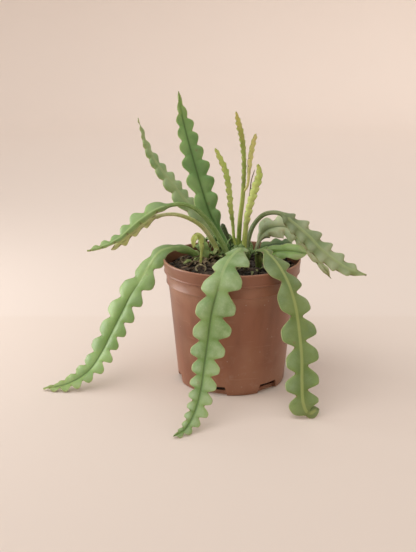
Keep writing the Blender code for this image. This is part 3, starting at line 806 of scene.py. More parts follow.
STEMS = (
    FlatStem(
        "stem_tall",
        ((1, 27), (0, 27, 114), (-6, 27, 128), (-14, 27, 143), (-22, 26.5, 160),
         (-30, 25, 186), (-36, 23, 208), (-42, 20, 231), (-47, 17, 253), (-50, 14, 275)),
        (FRONT, FRONT, (0.1, -1, 0.1), (0.2, -1, 0.1)),
        widths=(3.2, 9, 13, 14.5, 15, 14.5, 13.5, 12, 9, 5, 2),
        plus=Edge(9.4, 0.27, 0.64, share=0.95, notch=0.42),
        minus=Edge(8.2, 0.68, 0.59, share=0.82, notch=0.40),
        stalk_length=34, lobe=Lobe.SCALLOP, groove_from=-0.2, fold=0.08, puff=1.1,
        skin=Skin.TALL, slot="stem_dark", seed=3,
    ),
    FlatStem(
        "stem_rear_left",
        ((-9, 37), (-10, 37, 114), (-18, 42, 131), (-29, 48, 147), (-45, 55, 163),
         (-57.5, 60, 179), (-71.5, 64, 196), (-83, 67, 216), (-92, 70, 244)),
        ((0, -1, 0), (0.5, -0.85, 0.2), (0.65, -0.75, 0.3), (0.8, -0.6, 0.2)),
        widths=(3, 10, 12.5, 13, 12.5, 11, 9.5, 8, 5.5, 3.4, 1.4),
        plus=Edge(11, -0.3, 0.46, share=0.85, notch=0.34),
        minus=Edge(9.1, 0.85, 0.49, share=0.80, notch=0.40),
        stalk_length=42, lobe=Lobe.SCALLOP, groove_from=0.9, puff=0.8,
        skin=Skin.REAR, seed=4,
    ),
    FlatStem(
        "stem_arching_upper",
        ((-2, 9), (-3, 9, 117), (-10, 7, 134), (-22, 4, 154), (-35, 0, 168), (-49, -4, 173),
         (-63, -8, 171), (-77, -11, 165), (-91, -14, 155), (-105, -16, 143), (-120, -18, 136),
         (-135, -20, 132)),
        (FRONT, (0, -0.8, 0.6), (-0.2, -0.8, 0.6), (-0.2, -0.7, 0.7)),
        widths=(1.9, 8.5, 10.5, 11.5, 12, 10.5, 8.5, 7, 6.5, 6, 3),
        plus=Edge(6.4, 0.64, 0.93, share=0.95, notch=0.50),
        minus=Edge(6.0, 0.45, 0.3, share=0.30, notch=0.35, back=0.5),
        stalk_length=96, stalk_half=3.1, lobe=Lobe.KNOB, groove_from=2.0, puff=0.9, wave=0.7,
        skin=Skin.LEAF, seed=5,
    ),
    FlatStem(
        "stem_arching_lower",
        ((-11, 18), (-11, 18, 115), (-18, 15, 132), (-28, 12, 147), (-40, 9, 156),
         (-54, 6, 161), (-68, 3, 160.5), (-80, 0, 154.5), (-93, -3, 145.5), (-105, -6, 136),
         (-114, -8, 130)),
        (FRONT, (0, -0.9, 0.3), (-0.1, -1, -0.1), (-0.2, -1, -0.2)),
        widths=(1.7, 3.6, 4.6, 5.2, 5.4, 5.4, 5, 2.5),
        plus=Edge(5, 0.2, 0.5, share=0.8, notch=0.2),
        minus=Edge(4.4, 0.1, 0.45, notch=0.62),
        stalk_length=90, stalk_half=2.7, lobe=Lobe.SAW, groove_from=2.0, puff=0.9, wave=1.2,
        skin=Skin.FOLDED, slot="shoot_young", seed=6,
    ),
    FlatStem(
        "stem_trailing_left",
        ((-31, 15), (-32, 15, 114), (-38, 12, 122), (-47, 8, 127), (-58, 3, 128.3), (-69, 1, 124.3),
         (-79, -1, 111), (-88, -5, 97), (-97, -8, 84), (-105, -12, 69), (-114, -17, 52),
         (-124, -23, 33), (-135, -30, 18), (-149, -35, 9), (-164, -38, 4), (-179, -39, 2.4)),
        (FRONT, (-0.3, -0.45, 0.85), (-0.5, -0.8, 0.45), (-0.5, -0.8, 0.35),
         (-0.4, -0.7, 0.55), (-0.1, -0.3, 0.95)),
        widths=(3, 7.5, 12.5, 15, 17, 18, 17, 15.5, 13, 10.5, 5),
        plus=Edge(11.9, 0.25, 0.98, notch=0.46, late=3.0),
        minus=Edge(13.2, 0.73, 0.42, share=0.92, notch=0.48),
        stalk_length=14, groove_from=0.35, puff=1.3,
        skin=Skin.LEAF, seed=7,
    ),
    FlatStem(
        "stem_front",
        ((13, -5), (13, -6, 115), (13, -15, 128), (9, -26, 135), (3, -39, 135), (-4, -52, 131),
         (-10, -65, 123), (-15, -74, 108), (-20, -81, 90), (-23, -89, 69), (-26, -99, 50),
         (-29, -110, 32), (-34, -121, 16), (-42, -132, 5), (-52, -141, 2.4)),
        (FRONT, (-0.2, -0.4, 0.9), (0, -0.95, 0.3), (0, -1, 0.2), (0, -0.6, 0.8)),
        widths=(3.4, 10, 18, 18, 20.5, 21, 17.5, 14.5, 13, 10.5, 6),
        plus=Edge(14.3, 0.40, 0.49, share=0.76, notch=0.45, late=3.0),
        minus=Edge(13.1, 0.40, 0.09, share=1.02, notch=0.50, late=3.0),
        stalk_length=24, groove_from=0.33, puff=1.5, wave=1.0,
        skin=Skin.FRONT_LEAF, seed=8,
    ),
    FlatStem(
        "stem_front_right",
        ((25, -10), (25, -12, 116), (24, -21, 130), (28, -32, 135), (35, -43, 131), (43, -53, 122),
         (50, -62, 109), (55, -69, 92), (58, -76, 73), (60, -85, 52), (60, -94, 32),
         (61, -101, 15), (66, -102, 6), (75, -97, 8)),
        (FRONT, (0.35, -0.5, 0.8), (0.35, -0.85, 0.35), (0.1, -1, 0), (0, -1, 0.3)),
        widths=(3.4, 8, 14, 15.5, 16.5, 16.5, 16.5, 16.5, 16.5, 15, 10),
        plus=Edge(7.4, 0.30, 0.43, share=0.93, notch=0.62, late=3.0),
        minus=Edge(8.8, 0.0, 0.75, notch=0.66),
        stalk_length=24, lobe=Lobe.KNOB, groove_from=1.4, puff=1.5, wave=1.2,
        skin=Skin.OLIVE, seed=9,
    ),
    FlatStem(
        "stem_right",
        ((14, 28), (15, 28, 115), (17, 27, 133), (22, 25, 147), (32, 21, 158), (46, 15, 160),
         (58, 10, 152), (74, 4, 139), (84, 0, 129), (97, -4, 119), (111, -8, 111),
         (127, -11, 106)),
        (FRONT, (0, -0.8, 0.6), (0.2, -0.9, 0.5), (0.1, -0.85, 0.5)),
        widths=(2.1, 9, 11.5, 12, 13, 13, 12.5, 11.5, 9.5, 6.5, 1.5),
        plus=Edge(8, 0.0, 0.1, share=0.85, notch=0.22),
        minus=Edge(6.6, -0.07, 0.98, notch=0.44),
        stalk_length=74, stalk_half=2.6, lobe=Lobe.SAW, groove_from=2.0, puff=0.8,
        skin=Skin.PALE, seed=10,
    ),
    FlatStem(
        "stem_back_right",
        ((23, 38), (24, 39, 114), (31, 44, 132), (41, 47, 138), (54, 51, 138), (67, 52, 132),
         (78, 51, 120), (86, 48, 108), (94, 45, 97), (101, 42, 87)),
        (FRONT, (0.2, -0.6, 0.8), (0.3, -0.8, 0.5), (0.3, -0.9, 0.2)),
        widths=(2, 11, 15, 16, 15.5, 14, 12, 8, 6, 4.5, 1.2),
        plus=Edge(6, 0.1, 0.3, notch=0.40), minus=Edge(6.5, 0.1, 0.6, notch=0.45),
        stalk_length=22, stalk_half=2.2, groove_from=-1.0, puff=1.2,
        skin=Skin.HURT, seed=11,
    ),
    FlatStem(
        "stem_low_right",
        ((27, 26), (28, 26, 114), (31, 27, 121), (39, 29, 125), (49, 30, 126), (60, 30, 127)),
        (FRONT, (0, -0.4, 0.9), (0.2, -0.5, 0.8)),
        widths=(2.2, 7, 8, 8, 7, 2), plus=Edge(3, 0, 0.2, notch=0.3),
        minus=Edge(3.4, 0, 0.5, notch=0.3), stalk_length=12, groove_from=-1.0, puff=0.7,
        skin=Skin.SHADED, slot="stem_dark", seed=12,
    ),
    FlatStem(
        "stem_short_right",
        ((30, 9), (31, 9, 114), (35, 7, 121), (45, 3, 125), (57, -3, 127), (70, -9, 126)),
        (FRONT, (0, -0.6, 0.8), (0.1, -0.8, 0.6)),
        widths=(2.4, 7, 8.5, 9, 9, 8.5, 6.5), plus=Edge(3, 0, 0.2, notch=0.10),
        minus=Edge(3.3, 0, 0.5, notch=0.08), stalk_length=12, groove_from=-1.0, puff=1.4,
        wing=1.3, skin=Skin.BRIGHT, slot="shoot_young", seed=13,
    ),
    FlatStem(
        "shoot_centre",
        ((7, 18), (7, 18, 115), (7, 18, 133), (8, 16, 155), (10, 15, 173), (11, 14, 192),
         (11, 13, 212), (9, 12, 232), (3, 10, 257)),
        (FRONT, (0.3, -0.95, 0), (0.4, -0.9, 0)),
        widths=(2.2, 2.4, 2.6, 2.6, 2.8, 3.2, 3.4, 3.2, 2.4), plus=Edge(13, 0.2, 0.3, notch=0.30),
        minus=Edge(13, 0.2, 0.8, notch=0.28), stalk_length=78, stalk_half=2.4, stalk_thick=3.6,
        lobe=Lobe.TOOTH, groove_from=2.0, rib=0.6, wing=0.7, puff=0.4, wave=0.3,
        skin=Skin.SHOOT, slot="shoot_young", seed=14,
    ),
    FlatStem(
        "shoot_left",
        ((2.6, 19, 132), (1, 20, 150), (-1, 18, 166), (-2, 17, 179), (-5, 17, 197), (-9, 17, 208),
         (-16, 18, 222)),
        ((0.6, -0.8, 0), (0.5, -0.85, 0)),
        widths=(1.6, 2.8, 3.4, 3.6, 3.8, 3.8, 3.6, 3.4, 3.2), plus=Edge(12, 0.0, 0.3, notch=0.30),
        minus=Edge(12, 0.0, 0.8, notch=0.30), stalk_length=20, stalk_half=1.5, stalk_thick=2.6,
        rooted=False, join=(6.5, 18.2, 124), lobe=Lobe.TOOTH, groove_from=2.0, rib=0.5, wing=0.7,
        puff=0.4, wave=0.4, skin=Skin.SHOOT_PALE, slot="shoot_young", seed=15,
    ),
    FlatStem(
        "shoot_branch",
        ((14.6, 12, 188), (16, 13, 202), (18, 14, 219), (22, 15, 236)),
        ((0.3, -0.95, 0), (0.5, -0.85, 0)),
        widths=(1.4, 2.6, 3.2, 3.2, 2.6), plus=Edge(6, 0.2, 0.3, notch=0.28),
        minus=Edge(6, 0.2, 0.8, notch=0.25), stalk_length=16, stalk_half=1.2, stalk_thick=2.2,
        rooted=False, join=(10.9, 14.2, 181), lobe=Lobe.TOOTH, groove_from=2.0, rib=0.5,
        wing=0.7, puff=0.3, wave=0.3, skin=Skin.SHOOT_GOLD, slot="shoot_young", seed=16,
    ),
    FlatStem(
        "shoot_right",
        ((12, 7), (12, 7, 115), (12, 7, 135), (15, 6, 162), (21, 6, 185), (25, 6, 198),
         (24, 6, 209)),
        (FRONT, (-0.3, -0.95, 0)),
        widths=(2.4, 3.2, 3.6, 4, 4.2, 4.2, 3.8, 3), plus=Edge(9, 0.2, 0.3, notch=0.30),
        minus=Edge(9, 0.2, 0.8, notch=0.22), stalk_length=40, stalk_half=2.2, stalk_thick=3.6,
        lobe=Lobe.TOOTH, groove_from=2.0, rib=0.7, wing=0.8, puff=0.5, wave=0.4,
        skin=Skin.SHOOT_PALE, slot="shoot_young", seed=17,
    ),
    FlatStem(
        "shoot_young_left",
        ((-25, 5), (-25, 5, 114), (-26, 5, 124), (-28, 6, 134), (-32, 8, 142)),
        (FRONT, (0.2, -0.95, 0)),
        widths=(1.8, 4.4, 5, 4.6, 2.4), plus=Edge(4, 0, 0.2, notch=0.25),
        minus=Edge(4, 0, 0.7, notch=0.25), stalk_length=8, stalk_half=1.7, stalk_thick=2.4,
        rib=0.5, wing=0.6, puff=0.5, wave=0.4, skin=Skin.LEAF, seed=18,
    ),
    FlatStem(
        "shoot_drooping",
        ((-30, -3), (-30, -3, 114), (-29, -3, 127), (-29.5, -3, 138), (-33, -4, 143),
         (-36, -5, 139), (-36.5, -5, 131)),
        (FRONT, (-0.5, -0.85, 0.2), (-0.3, -0.95, 0)),
        widths=(1.3, 3.0, 3.6, 3.2, 2.0), plus=Edge(3, 0, 0.2, notch=0.2),
        minus=Edge(3, 0, 0.7, notch=0.2), stalk_length=22, stalk_half=1.2, stalk_thick=1.8,
        rib=0.3, wing=0.5, puff=0.4, wave=0.3, skin=Skin.SHOOT_PALE, slot="shoot_young", seed=19,
    ),
)


# ----------------------------------------------------------------------- twigs


@dataclass
class Twig:
    """A round dry or cut piece with a knobbly surface that tapers along its route."""

    node: str
    route: tuple[Point, ...]
    radius: float
    skin: Skin
    slot: str
    rooted: bool = False
    end_share: float = 0.7
    knob: float = 0.18
    sides: int = 12

    def build(self) -> bpy.types.Object:
        """Makes the twig's mesh and puts it in the place of its node."""
        route = ((*self.route[0], ROOT_BOTTOM), *self.route[1:]) if self.rooted else self.route
        rows = 14 * len(route)
        centre, _ = smooth_route(list(route), rows)
        tangent = unit(np.gradient(centre, axis=0))
        side = unit(np.cross(tangent, np.array((0.13, -1.0, 0.31))))
        up = np.cross(side, tangent)
        turn = np.linspace(0, 2 * np.pi, self.sides, endpoint=False)
        share = np.linspace(0.0, 1.0, rows)
        radius = self.radius * (1 - (1 - self.end_share) * share)
        radius = radius * np.sqrt(np.clip((1.003 - share) * 14, 0.0, 1.0))
        points = np.empty((rows, self.sides, 3))
        for row in range(rows):
            for col, angle in enumerate(turn):
                way = side[row] * math.cos(angle) + up[row] * math.sin(angle)
                spot = centre[row] + way * radius[row]
                rough = noise.noise(Vector(spot) * 0.6) + 0.5 * noise.noise(Vector(spot) * 1.7)
                points[row, col] = centre[row] + way * radius[row] * (1 + self.knob * rough)
        numbers = {"along": np.repeat(share, self.sides)}
        obj = piece_from(f"{self.node}_bark", points.reshape(-1, 3),
                         tube_faces(rows, self.sides), self.skin.get(), numbers)
        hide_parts(self.node)
        return obj


TWIGS = (
    Twig("aerial_root", ((16, 9, 176), (17, 9, 184), (18, 9.5, 193), (21, 10, 203)), 0.7,
         Skin.ROOT, "dry_stem", end_share=0.5),
    Twig("cut_stub", ((-1, 39), (-1, 39, 116), (-4, 40, 131), (-9, 41, 144)), 2.3, Skin.STUB,
         "stem_dark", rooted=True, end_share=1.1),
    Twig("bare_stalk", ((-33, 28), (-34, 27, 116), (-42, 23, 121), (-50, 19, 124),
                        (-58, 16, 126)), 1.2, Skin.STALK, "dry_stem", rooted=True),
    Twig("dry_curl", ((-33, -24, 113.3), (-34, -22, 116.5), (-31, -21, 118.6), (-28, -21, 118.6),
                      (-25, -22, 116.5), (-26, -24, 113.4)), 1.1, Skin.CURL, "dry_stem"),
)


# ------------------------------------------------------------------- nursery pot


@dataclass
class NurseryPot:
    """The thin moulded pot: stepped rim band, rounded lip, raised floor and drain notches."""

    height: float = 121.0
    wall: float = 1.5
    steps: int = 144
    floor_under: float = 2.0
    floor_top: float = 3.8
    floor_edge: float = 46.5
    foot_inner: float = 45.5
    notches: int = 6
    first_notch_deg: float = 41.0
    notch_deg: float = 24.0
    notch_height: float = 9.0
    notch_reach: float = 14.0
    notch_flare: float = 1.2
    lip_round: float = 0.75
    step_heights: tuple[float, float] = (108.3, 98.0)
    step_radius: float = 60.5
    lip_wear_and_highlight: float = 0.8
    step_highlight: float = 0.35
    foot_wear: float = 0.45
    outline: tuple[Point, ...] = (
        (65.3, 119.3), (65.1, 117.4), (64.3, 110.4), (64.7, 109.8), (64.7, 109.0), (64.2, 108.5),
        (63.0, 108.2), (62.2, 99.8), (62.6, 99.2), (62.6, 98.5), (62.0, 98.0), (60.9, 97.6),
        (59.4, 86.0), (56.9, 59.0),
        (54.3, 31.0), (52.5, 11.0), (52.0, 4.0), (51.6, 1.6), (51.1, 0.5), (50.2, 0.0),
    )

    def outer_radius(self, height: float) -> float:
        """The wall's outer radius in mm at a height in mm."""
        heights = [z for _, z in reversed(self.outline)]
        radii = [r for r, _ in reversed(self.outline)]
        return float(np.interp(height, heights, radii))

    def _profile(self) -> list[Point]:
        """The turned section in mm, from the lip down the outside and back up the inside."""
        lip_r = self.outline[0][0] - self.wall / 2
        lip = [(lip_r + self.lip_round * math.cos(a),
                self.height - self.lip_round + self.lip_round * math.sin(a))
               for a in np.linspace(math.pi, 0.15, 7)]
        inner = [(r - self.wall, z) for r, z in reversed(self.outline)
                 if self.floor_top + 2 < z < self.height - 2]
        low = self.outer_radius(self.floor_top) - self.wall - 1.0
        return [*lip, *self.outline, (self.foot_inner, 0.0), (self.foot_inner - 1, self.floor_under),
                (0.0, self.floor_under), (0.0, self.floor_top), (low, self.floor_top), *inner]

    def build(self) -> bpy.types.Object:
        """Makes the pot's mesh, cuts its notches and puts it in the place of its node."""
        profile = np.array(self._profile())
        turn = np.linspace(0, 2 * np.pi, self.steps, endpoint=False)
        rings = np.stack([np.outer(np.cos(turn), profile[:, 0]),
                          np.outer(np.sin(turn), profile[:, 0]),
                          np.broadcast_to(profile[:, 1], (self.steps, len(profile)))], axis=-1)
        loop = len(profile)
        faces = [(row * loop + col, ((row + 1) % self.steps) * loop + col,
                  ((row + 1) % self.steps) * loop + (col + 1) % loop,
                  row * loop + (col + 1) % loop)
                 for row in range(self.steps) for col in range(loop)]
        pot = piece_from("nursery_pot", rings.reshape(-1, 3), faces, PotPlastic().material())
        self._close_axis(pot)
        self._cut_notches(pot)
        self._mark_edges(pot)
        pot.data.shade_smooth()
        pot.data.set_sharp_from_angle(angle=math.radians(40))
        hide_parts("pot")
        return pot

    def _close_axis(self, pot: bpy.types.Object) -> None:
        """Joins the points that meet on the pot's axis, so that the floor plate is whole."""
        bm = bmesh.new()
        bm.from_mesh(pot.data)
        bmesh.ops.remove_doubles(bm, verts=bm.verts, dist=0.01 * MM)
        bmesh.ops.dissolve_degenerate(bm, edges=bm.edges, dist=0.001 * MM)
        bm.to_mesh(pot.data)
        bm.free()

    def _cut_notches(self, pot: bpy.types.Object) -> None:
        """Cuts the drain notches out of the pot's foot."""
        cutters = []
        middle = self.floor_edge + self.notch_reach / 2
        for index in range(self.notches):
            bm = bmesh.new()
            bmesh.ops.create_cube(bm, size=1.0)
            for vert in bm.verts:
                low = vert.co.z < 0
                flare = self.notch_flare if low else -self.notch_flare
                half = math.radians(self.notch_deg / 2) * middle + flare
                vert.co.x = math.copysign(half, vert.co.x) * MM
                vert.co.y = -(middle + math.copysign(self.notch_reach / 2, vert.co.y)) * MM
                vert.co.z = (-1.0 if low else self.notch_height) * MM
            bmesh.ops.recalc_face_normals(bm, faces=bm.faces)
            mesh = bpy.data.meshes.new(f"notch_{index}")
            angle = math.radians(self.first_notch_deg + index * 360 / self.notches)
            bm.transform(Matrix.Translation(pot_axis()) @ Matrix.Rotation(angle, 4, "Z"))
            bm.to_mesh(mesh)
            bm.free()
            cutter = show(mesh.name, mesh)
            cutters.append(cutter)
            cut = pot.modifiers.new(mesh.name, "BOOLEAN")
            cut.operation = "DIFFERENCE"
            cut.object = cutter
        graph = bpy.context.evaluated_depsgraph_get()
        cut_mesh = bpy.data.meshes.new_from_object(pot.evaluated_get(graph))
        pot.modifiers.clear()
        pot.data = cut_mesh
        for cutter in cutters:
            bpy.data.objects.remove(cutter, do_unlink=True)

    def _mark_edges(self, pot: bpy.types.Object) -> None:
        """Writes each point's height share and how much rubbed colour it gets: wear at the foot,
        wear and painted highlight on the lip, painted highlight on the step edges.
        """
        mesh = pot.data
        axis = pot_axis()
        height, edge = [], []
        for vert in mesh.vertices:
            z = vert.co.z / MM
            out = math.hypot(vert.co.x - axis.x, vert.co.y - axis.y) / MM
            on_lip = z > self.height - 1.2
            near_step = any(abs(z - level) < 0.5 for level in self.step_heights)
            on_step = near_step and out > self.step_radius
            on_foot = z < 1.0
            height.append(z / self.height)
            edge.append(self.lip_wear_and_highlight if on_lip else self.step_highlight if on_step
                        else self.foot_wear if on_foot else 0.0)
        write_number(mesh, "height", height)
        write_number(mesh, "edge", edge)


# ------------------------------------------------------------------- potting mix


@dataclass(frozen=True)
class Strands:
    """Thin strands of one kind, scattered over a round zone of the mix; sizes in mm."""

    name: str
    count: int
    seed: int
    zone: Point
    lengths: tuple[float, float]
    radii: tuple[float, float]
    arch: tuple[float, float]
    finish: Humus | DrySkin
    slot: str
    flat: float = 1.0
    bend: float = 0.10
    cup: float = 0.0


LITTER = (
    Strands("coir_fibres", 90, 33, (0, 0, 52), (6, 17), (0.12, 0.26), (0.4, 1.2),
            Humus("coir", (0.03, 0.02, 0.012), (0.11, 0.075, 0.04), (0.26, 0.20, 0.12), 0.7),
            "potting_mix"),
    Strands("dry_flakes", 30, 34, (-30, 8, 24), (6, 13), (1.2, 2.6), (0.5, 5.0),
            DrySkin("flake", (0.095, 0.065, 0.036), (0.30, 0.235, 0.14)), "dry_stem",
            flat=0.16, bend=0.22, cup=0.35),
    Strands("twiglets", 18, 35, (-30, 10, 24), (9, 22), (0.35, 0.75), (2.0, 7.0),
            DrySkin("twiglet", (0.085, 0.055, 0.028), (0.27, 0.19, 0.10)), "dry_stem"),
    Strands("young_leaves", 13, 36, (-29, 20, 14), (12, 25), (1.8, 3.6), (4.0, 14.0),
            DrySkin("offset_leaf", (0.17, 0.23, 0.07), (0.42, 0.48, 0.20)), "stem_green",
            flat=0.22, bend=0.18, cup=0.30),
    Strands("crown_leaves", 40, 37, (-2, 32, 25), (13, 27), (1.9, 3.6), (8.0, 19.0),
            DrySkin("crown_leaf", (0.10, 0.17, 0.05), (0.25, 0.35, 0.12)), "stem_green",
            flat=0.26, bend=0.14, cup=0.25),
    Strands("front_scraps", 9, 38, (14, -20, 13), (8, 16), (1.0, 1.9), (2.0, 6.0),
            DrySkin("scrap", (0.16, 0.20, 0.07), (0.44, 0.42, 0.20)), "dry_stem",
            flat=0.2, bend=0.2, cup=0.3),
)


@dataclass
class PottingMix:
    """The mounded mix: a rough surface, loose crumbs, bark chips and litter."""

    pot: NurseryPot
    crumbs: int = 950
    rings: int = 60
    steps: int = 150
    side_heights: tuple[float, ...] = (107.9, 98.4, 97.4, 86.0, 59.0, 31.0, 12.0)
    notch_top: float = 10.0

    def _edge(self) -> float:
        """The mix's outer radius in mm at its top."""
        return self.pot.outer_radius(MOUND_EDGE) - self.pot.wall - 0.4

    def height(self, x: float, y: float, rough: bool = True) -> float:
        """The surface's height.

        Args:
            x: place in mm from the pot's axis.
            y: place in mm from the pot's axis.
            rough: whether to add the clods.

        Returns:
            The height in mm.
        """
        share = min(1.0, math.hypot(x, y) / self._edge())
        top = MOUND_EDGE + MOUND_CROWN * (1 - share**2)
        if rough:
            spot = Vector((x, y, 3.7))
            top += 1.7 * noise.noise(spot / 9.0) + 0.9 * noise.noise(spot / 3.5)
            top += 0.4 * noise.noise(spot / 1.4)
        return top

    def build(self) -> None:
        """Makes the mound and everything that lies on it."""
        self._mound()
        self._crumbs()
        for kind in LITTER:
            self._strands(kind)

    def _mound(self) -> None:
        """The solid body of the mix, closed at its side and foot."""
        edge = self._edge()
        side = [(self.pot.outer_radius(z) - self.pot.wall - 0.5, z) for z in self.side_heights]
        foot = self.pot.floor_top + 0.5
        foot_edge = self.pot.floor_edge - 0.6
        side += [(foot_edge, self.notch_top), (foot_edge, foot)]
        turn = np.linspace(0, 2 * np.pi, self.steps, endpoint=False)
        points = [(0.0, 0.0, self.height(0.0, 0.0))]
        for ring in range(1, self.rings + 1):
            r = edge * ring / self.rings
            for angle in turn:
                x, y = r * math.cos(angle), r * math.sin(angle)
                points.append((x, y, self.height(x, y)))
        for r, z in side:
            points += [(r * math.cos(a), r * math.sin(a), z) for a in turn]
        points.append((0.0, 0.0, foot))
        total = self.rings + len(side)
        faces = fan_faces(total, self.steps)
        last = 1 + (total - 1) * self.steps
        faces += [(len(points) - 1, last + (i + 1) % self.steps, last + i)
                  for i in range(self.steps)]
        finish = Humus("peat", (0.014, 0.010, 0.007), (0.060, 0.038, 0.024),
                       (0.17, 0.110, 0.065)).material()
        mound = piece_from("mix_mound", np.array(points), faces, finish,
                           {"tone": np.zeros(len(points))})
        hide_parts("potting_mix")

    @staticmethod
    def _lump(chance: random.Random, size: Point, detail: int = 1) -> bmesh.types.BMesh:
        """A rough lump.

        Args:
            chance: the source of its shape.
            size: length, width and height in mm.
            detail: subdivisions of the sphere that it starts from.

        Returns:
            The lump around the origin, in mm.
        """
        bm = bmesh.new()
        bmesh.ops.create_icosphere(bm, subdivisions=detail, radius=0.5)
        shift = Vector([chance.uniform(0, 50) for _ in range(3)])
        for vert in bm.verts:
            rough = 1 + 0.45 * noise.noise(vert.co * 2.4 + shift) + chance.uniform(-0.1, 0.1)
            square = max(abs(c) for c in vert.co) / 0.5
            vert.co = Vector([c * s for c, s in zip(vert.co * rough / max(square, 0.72), size)])
        return bm

    def _scatter(self, name: str, lumps: list, finish: bpy.types.Material) -> bpy.types.Object:
        """Joins placed lumps into one piece.

        Args:
            name: the piece's name.
            lumps: (lump, its placing matrix in mm, its tone) for each.
            finish: the material.

        Returns:
            The piece.
        """
        points, faces, tones = [], [], []
        for bm, matrix, tone in lumps:
            first = len(points)
            bm.verts.ensure_lookup_table()
            points += [tuple(matrix @ vert.co) for vert in bm.verts]
            tones += [tone] * len(bm.verts)
            faces += [tuple(first + vert.index for vert in face.verts) for face in bm.faces]
            bm.free()
        return piece_from(name, np.array(points), faces, finish, {"tone": np.array(tones)})

    def _spot(self, chance: random.Random, reach: float) -> tuple[float, float]:
        """A place on the mound, evenly spread over its disc."""
        r = self._edge() * reach * math.sqrt(chance.random())
        angle = chance.uniform(0, 2 * math.pi)
        return r * math.cos(angle), r * math.sin(angle)

    def _crumbs(self) -> None:
        """Loose crumbs over the whole mound, small ones most of all."""
        chance = random.Random(21)
        lumps = []
        for _ in range(self.crumbs):
            x, y = self._spot(chance, 0.97)
            size = 1.0 + 4.6 * chance.random() ** 2.8
            shape = (size * chance.uniform(1.0, 1.7), size, size * chance.uniform(0.5, 0.9))
            turn = Matrix.Rotation(chance.uniform(0, 6.28), 4, "Z")
            tilt = Matrix.Rotation(chance.uniform(-0.5, 0.5), 4, "X")
            place = Matrix.Translation((x, y, self.height(x, y) + 0.18 * size))
            lumps.append((self._lump(chance, shape), place @ turn @ tilt, chance.random()))
        finish = Humus("crumb_mix", (0.016, 0.011, 0.008), (0.085, 0.052, 0.032),
                       (0.27, 0.18, 0.11)).material()
        crumbs = self._scatter("mix_crumbs", lumps, finish)

    def chips(self, places: tuple) -> None:
        """Bark chips, each in the place of its own node.

        Args:
            places: (place in mm, turn in degrees, size in mm) for each chip.
        """
        finish = Humus("bark_chip", (0.018, 0.012, 0.008), (0.060, 0.036, 0.020),
                       (0.16, 0.105, 0.06)).material()
        for index, (spot, turn, size) in enumerate(places, start=1):
            chance = random.Random(60 + index)
            lump = self._lump(chance, size, 3)
            lift = self.height(*spot, rough=False) + size[2] / 2
            matrix = Matrix.Translation((*spot, lift)) @ Matrix.Rotation(math.radians(turn), 4, "Z")
            tone = chance.uniform(0.2, 0.7)
            chip = self._scatter(f"chip_{index}", [(lump, matrix, tone)], finish)
            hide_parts(f"bark_chip_{index}")

    def _strands(self, kind: Strands) -> bpy.types.Object:
        """Strands of one kind, each lying on the mix and lifting towards its tip.

        Args:
            kind: what the strands are and where they lie.

        Returns:
            The piece that holds them all.
        """
        chance = random.Random(kind.seed)
        points, faces, tones, shares = [], [], [], []
        rows, sides = 14, 8
        share = np.linspace(0.0, 1.0, rows)
        for _ in range(kind.count):
            far = kind.zone[2] * math.sqrt(chance.random())
            around = chance.uniform(0, 2 * math.pi)
            x, y = kind.zone[0] + far * math.cos(around), kind.zone[1] + far * math.sin(around)
            heading = chance.uniform(0, 2 * math.pi)
            length, radius = chance.uniform(*kind.lengths), chance.uniform(*kind.radii)
            arch, bend = chance.uniform(*kind.arch), chance.uniform(-kind.bend, kind.bend)
            line = []
            for step in share:
                lift = 0.8 + radius * kind.flat + arch * math.sin(2.4 * step)
                line.append((x, y, self.height(x, y) + lift))
                heading += bend + chance.uniform(-0.12, 0.12)
                x += length / rows * math.cos(heading)
                y += length / rows * math.sin(heading)
            if math.hypot(x, y) > self._edge() - 2:
                continue
            centre = np.array(line)
            tangent = unit(np.gradient(centre, axis=0))
            side = unit(np.cross(tangent, (0.0, 0.0, 1.0)))
            up = np.cross(side, tangent)
            full = radius * np.sin(np.pi * (0.12 + 0.80 * share)) ** 0.7
            first, roll = len(points), chance.uniform(-0.7, 0.7)
            for row in range(rows):
                for turn in np.linspace(0, 2 * np.pi, sides, endpoint=False):
                    wide, thin = math.cos(turn), kind.flat * math.sin(turn)
                    out = wide * math.cos(roll) - thin * math.sin(roll)
                    rise = wide * math.sin(roll) + thin * math.cos(roll) - kind.cup * wide**2
                    way = side[row] * out + up[row] * rise
                    points.append(tuple(centre[row] + way * full[row]))
            faces += [tuple(first + index for index in face) for face in tube_faces(rows, sides)]
            tones += [chance.uniform(0.6, 1.0)] * (rows * sides)
            shares += list(np.repeat(share, sides))
        numbers = {"tone": np.array(tones), "along": np.array(shares)}
        made = piece_from(kind.name, np.array(points), faces, kind.finish.material(), numbers)
        return made


CHIPS = (
    ((-46, -2), 20, (11, 7, 3.5)),
    ((-42, -20), 75, (9, 6, 4.0)),
    ((-16, -36), 130, (10, 7, 3.5)),
    ((-18, -12), 40, (8, 6, 3.5)),
    ((40, -18), 160, (10, 6, 3.5)),
    ((2, -28), 100, (8, 5, 3.0)),
    ((-8, 50), 10, (11, 7, 4.0)),
    ((46, 12), 60, (9, 6, 3.5)),
)


# ---------------------------------------------------------------------- studio


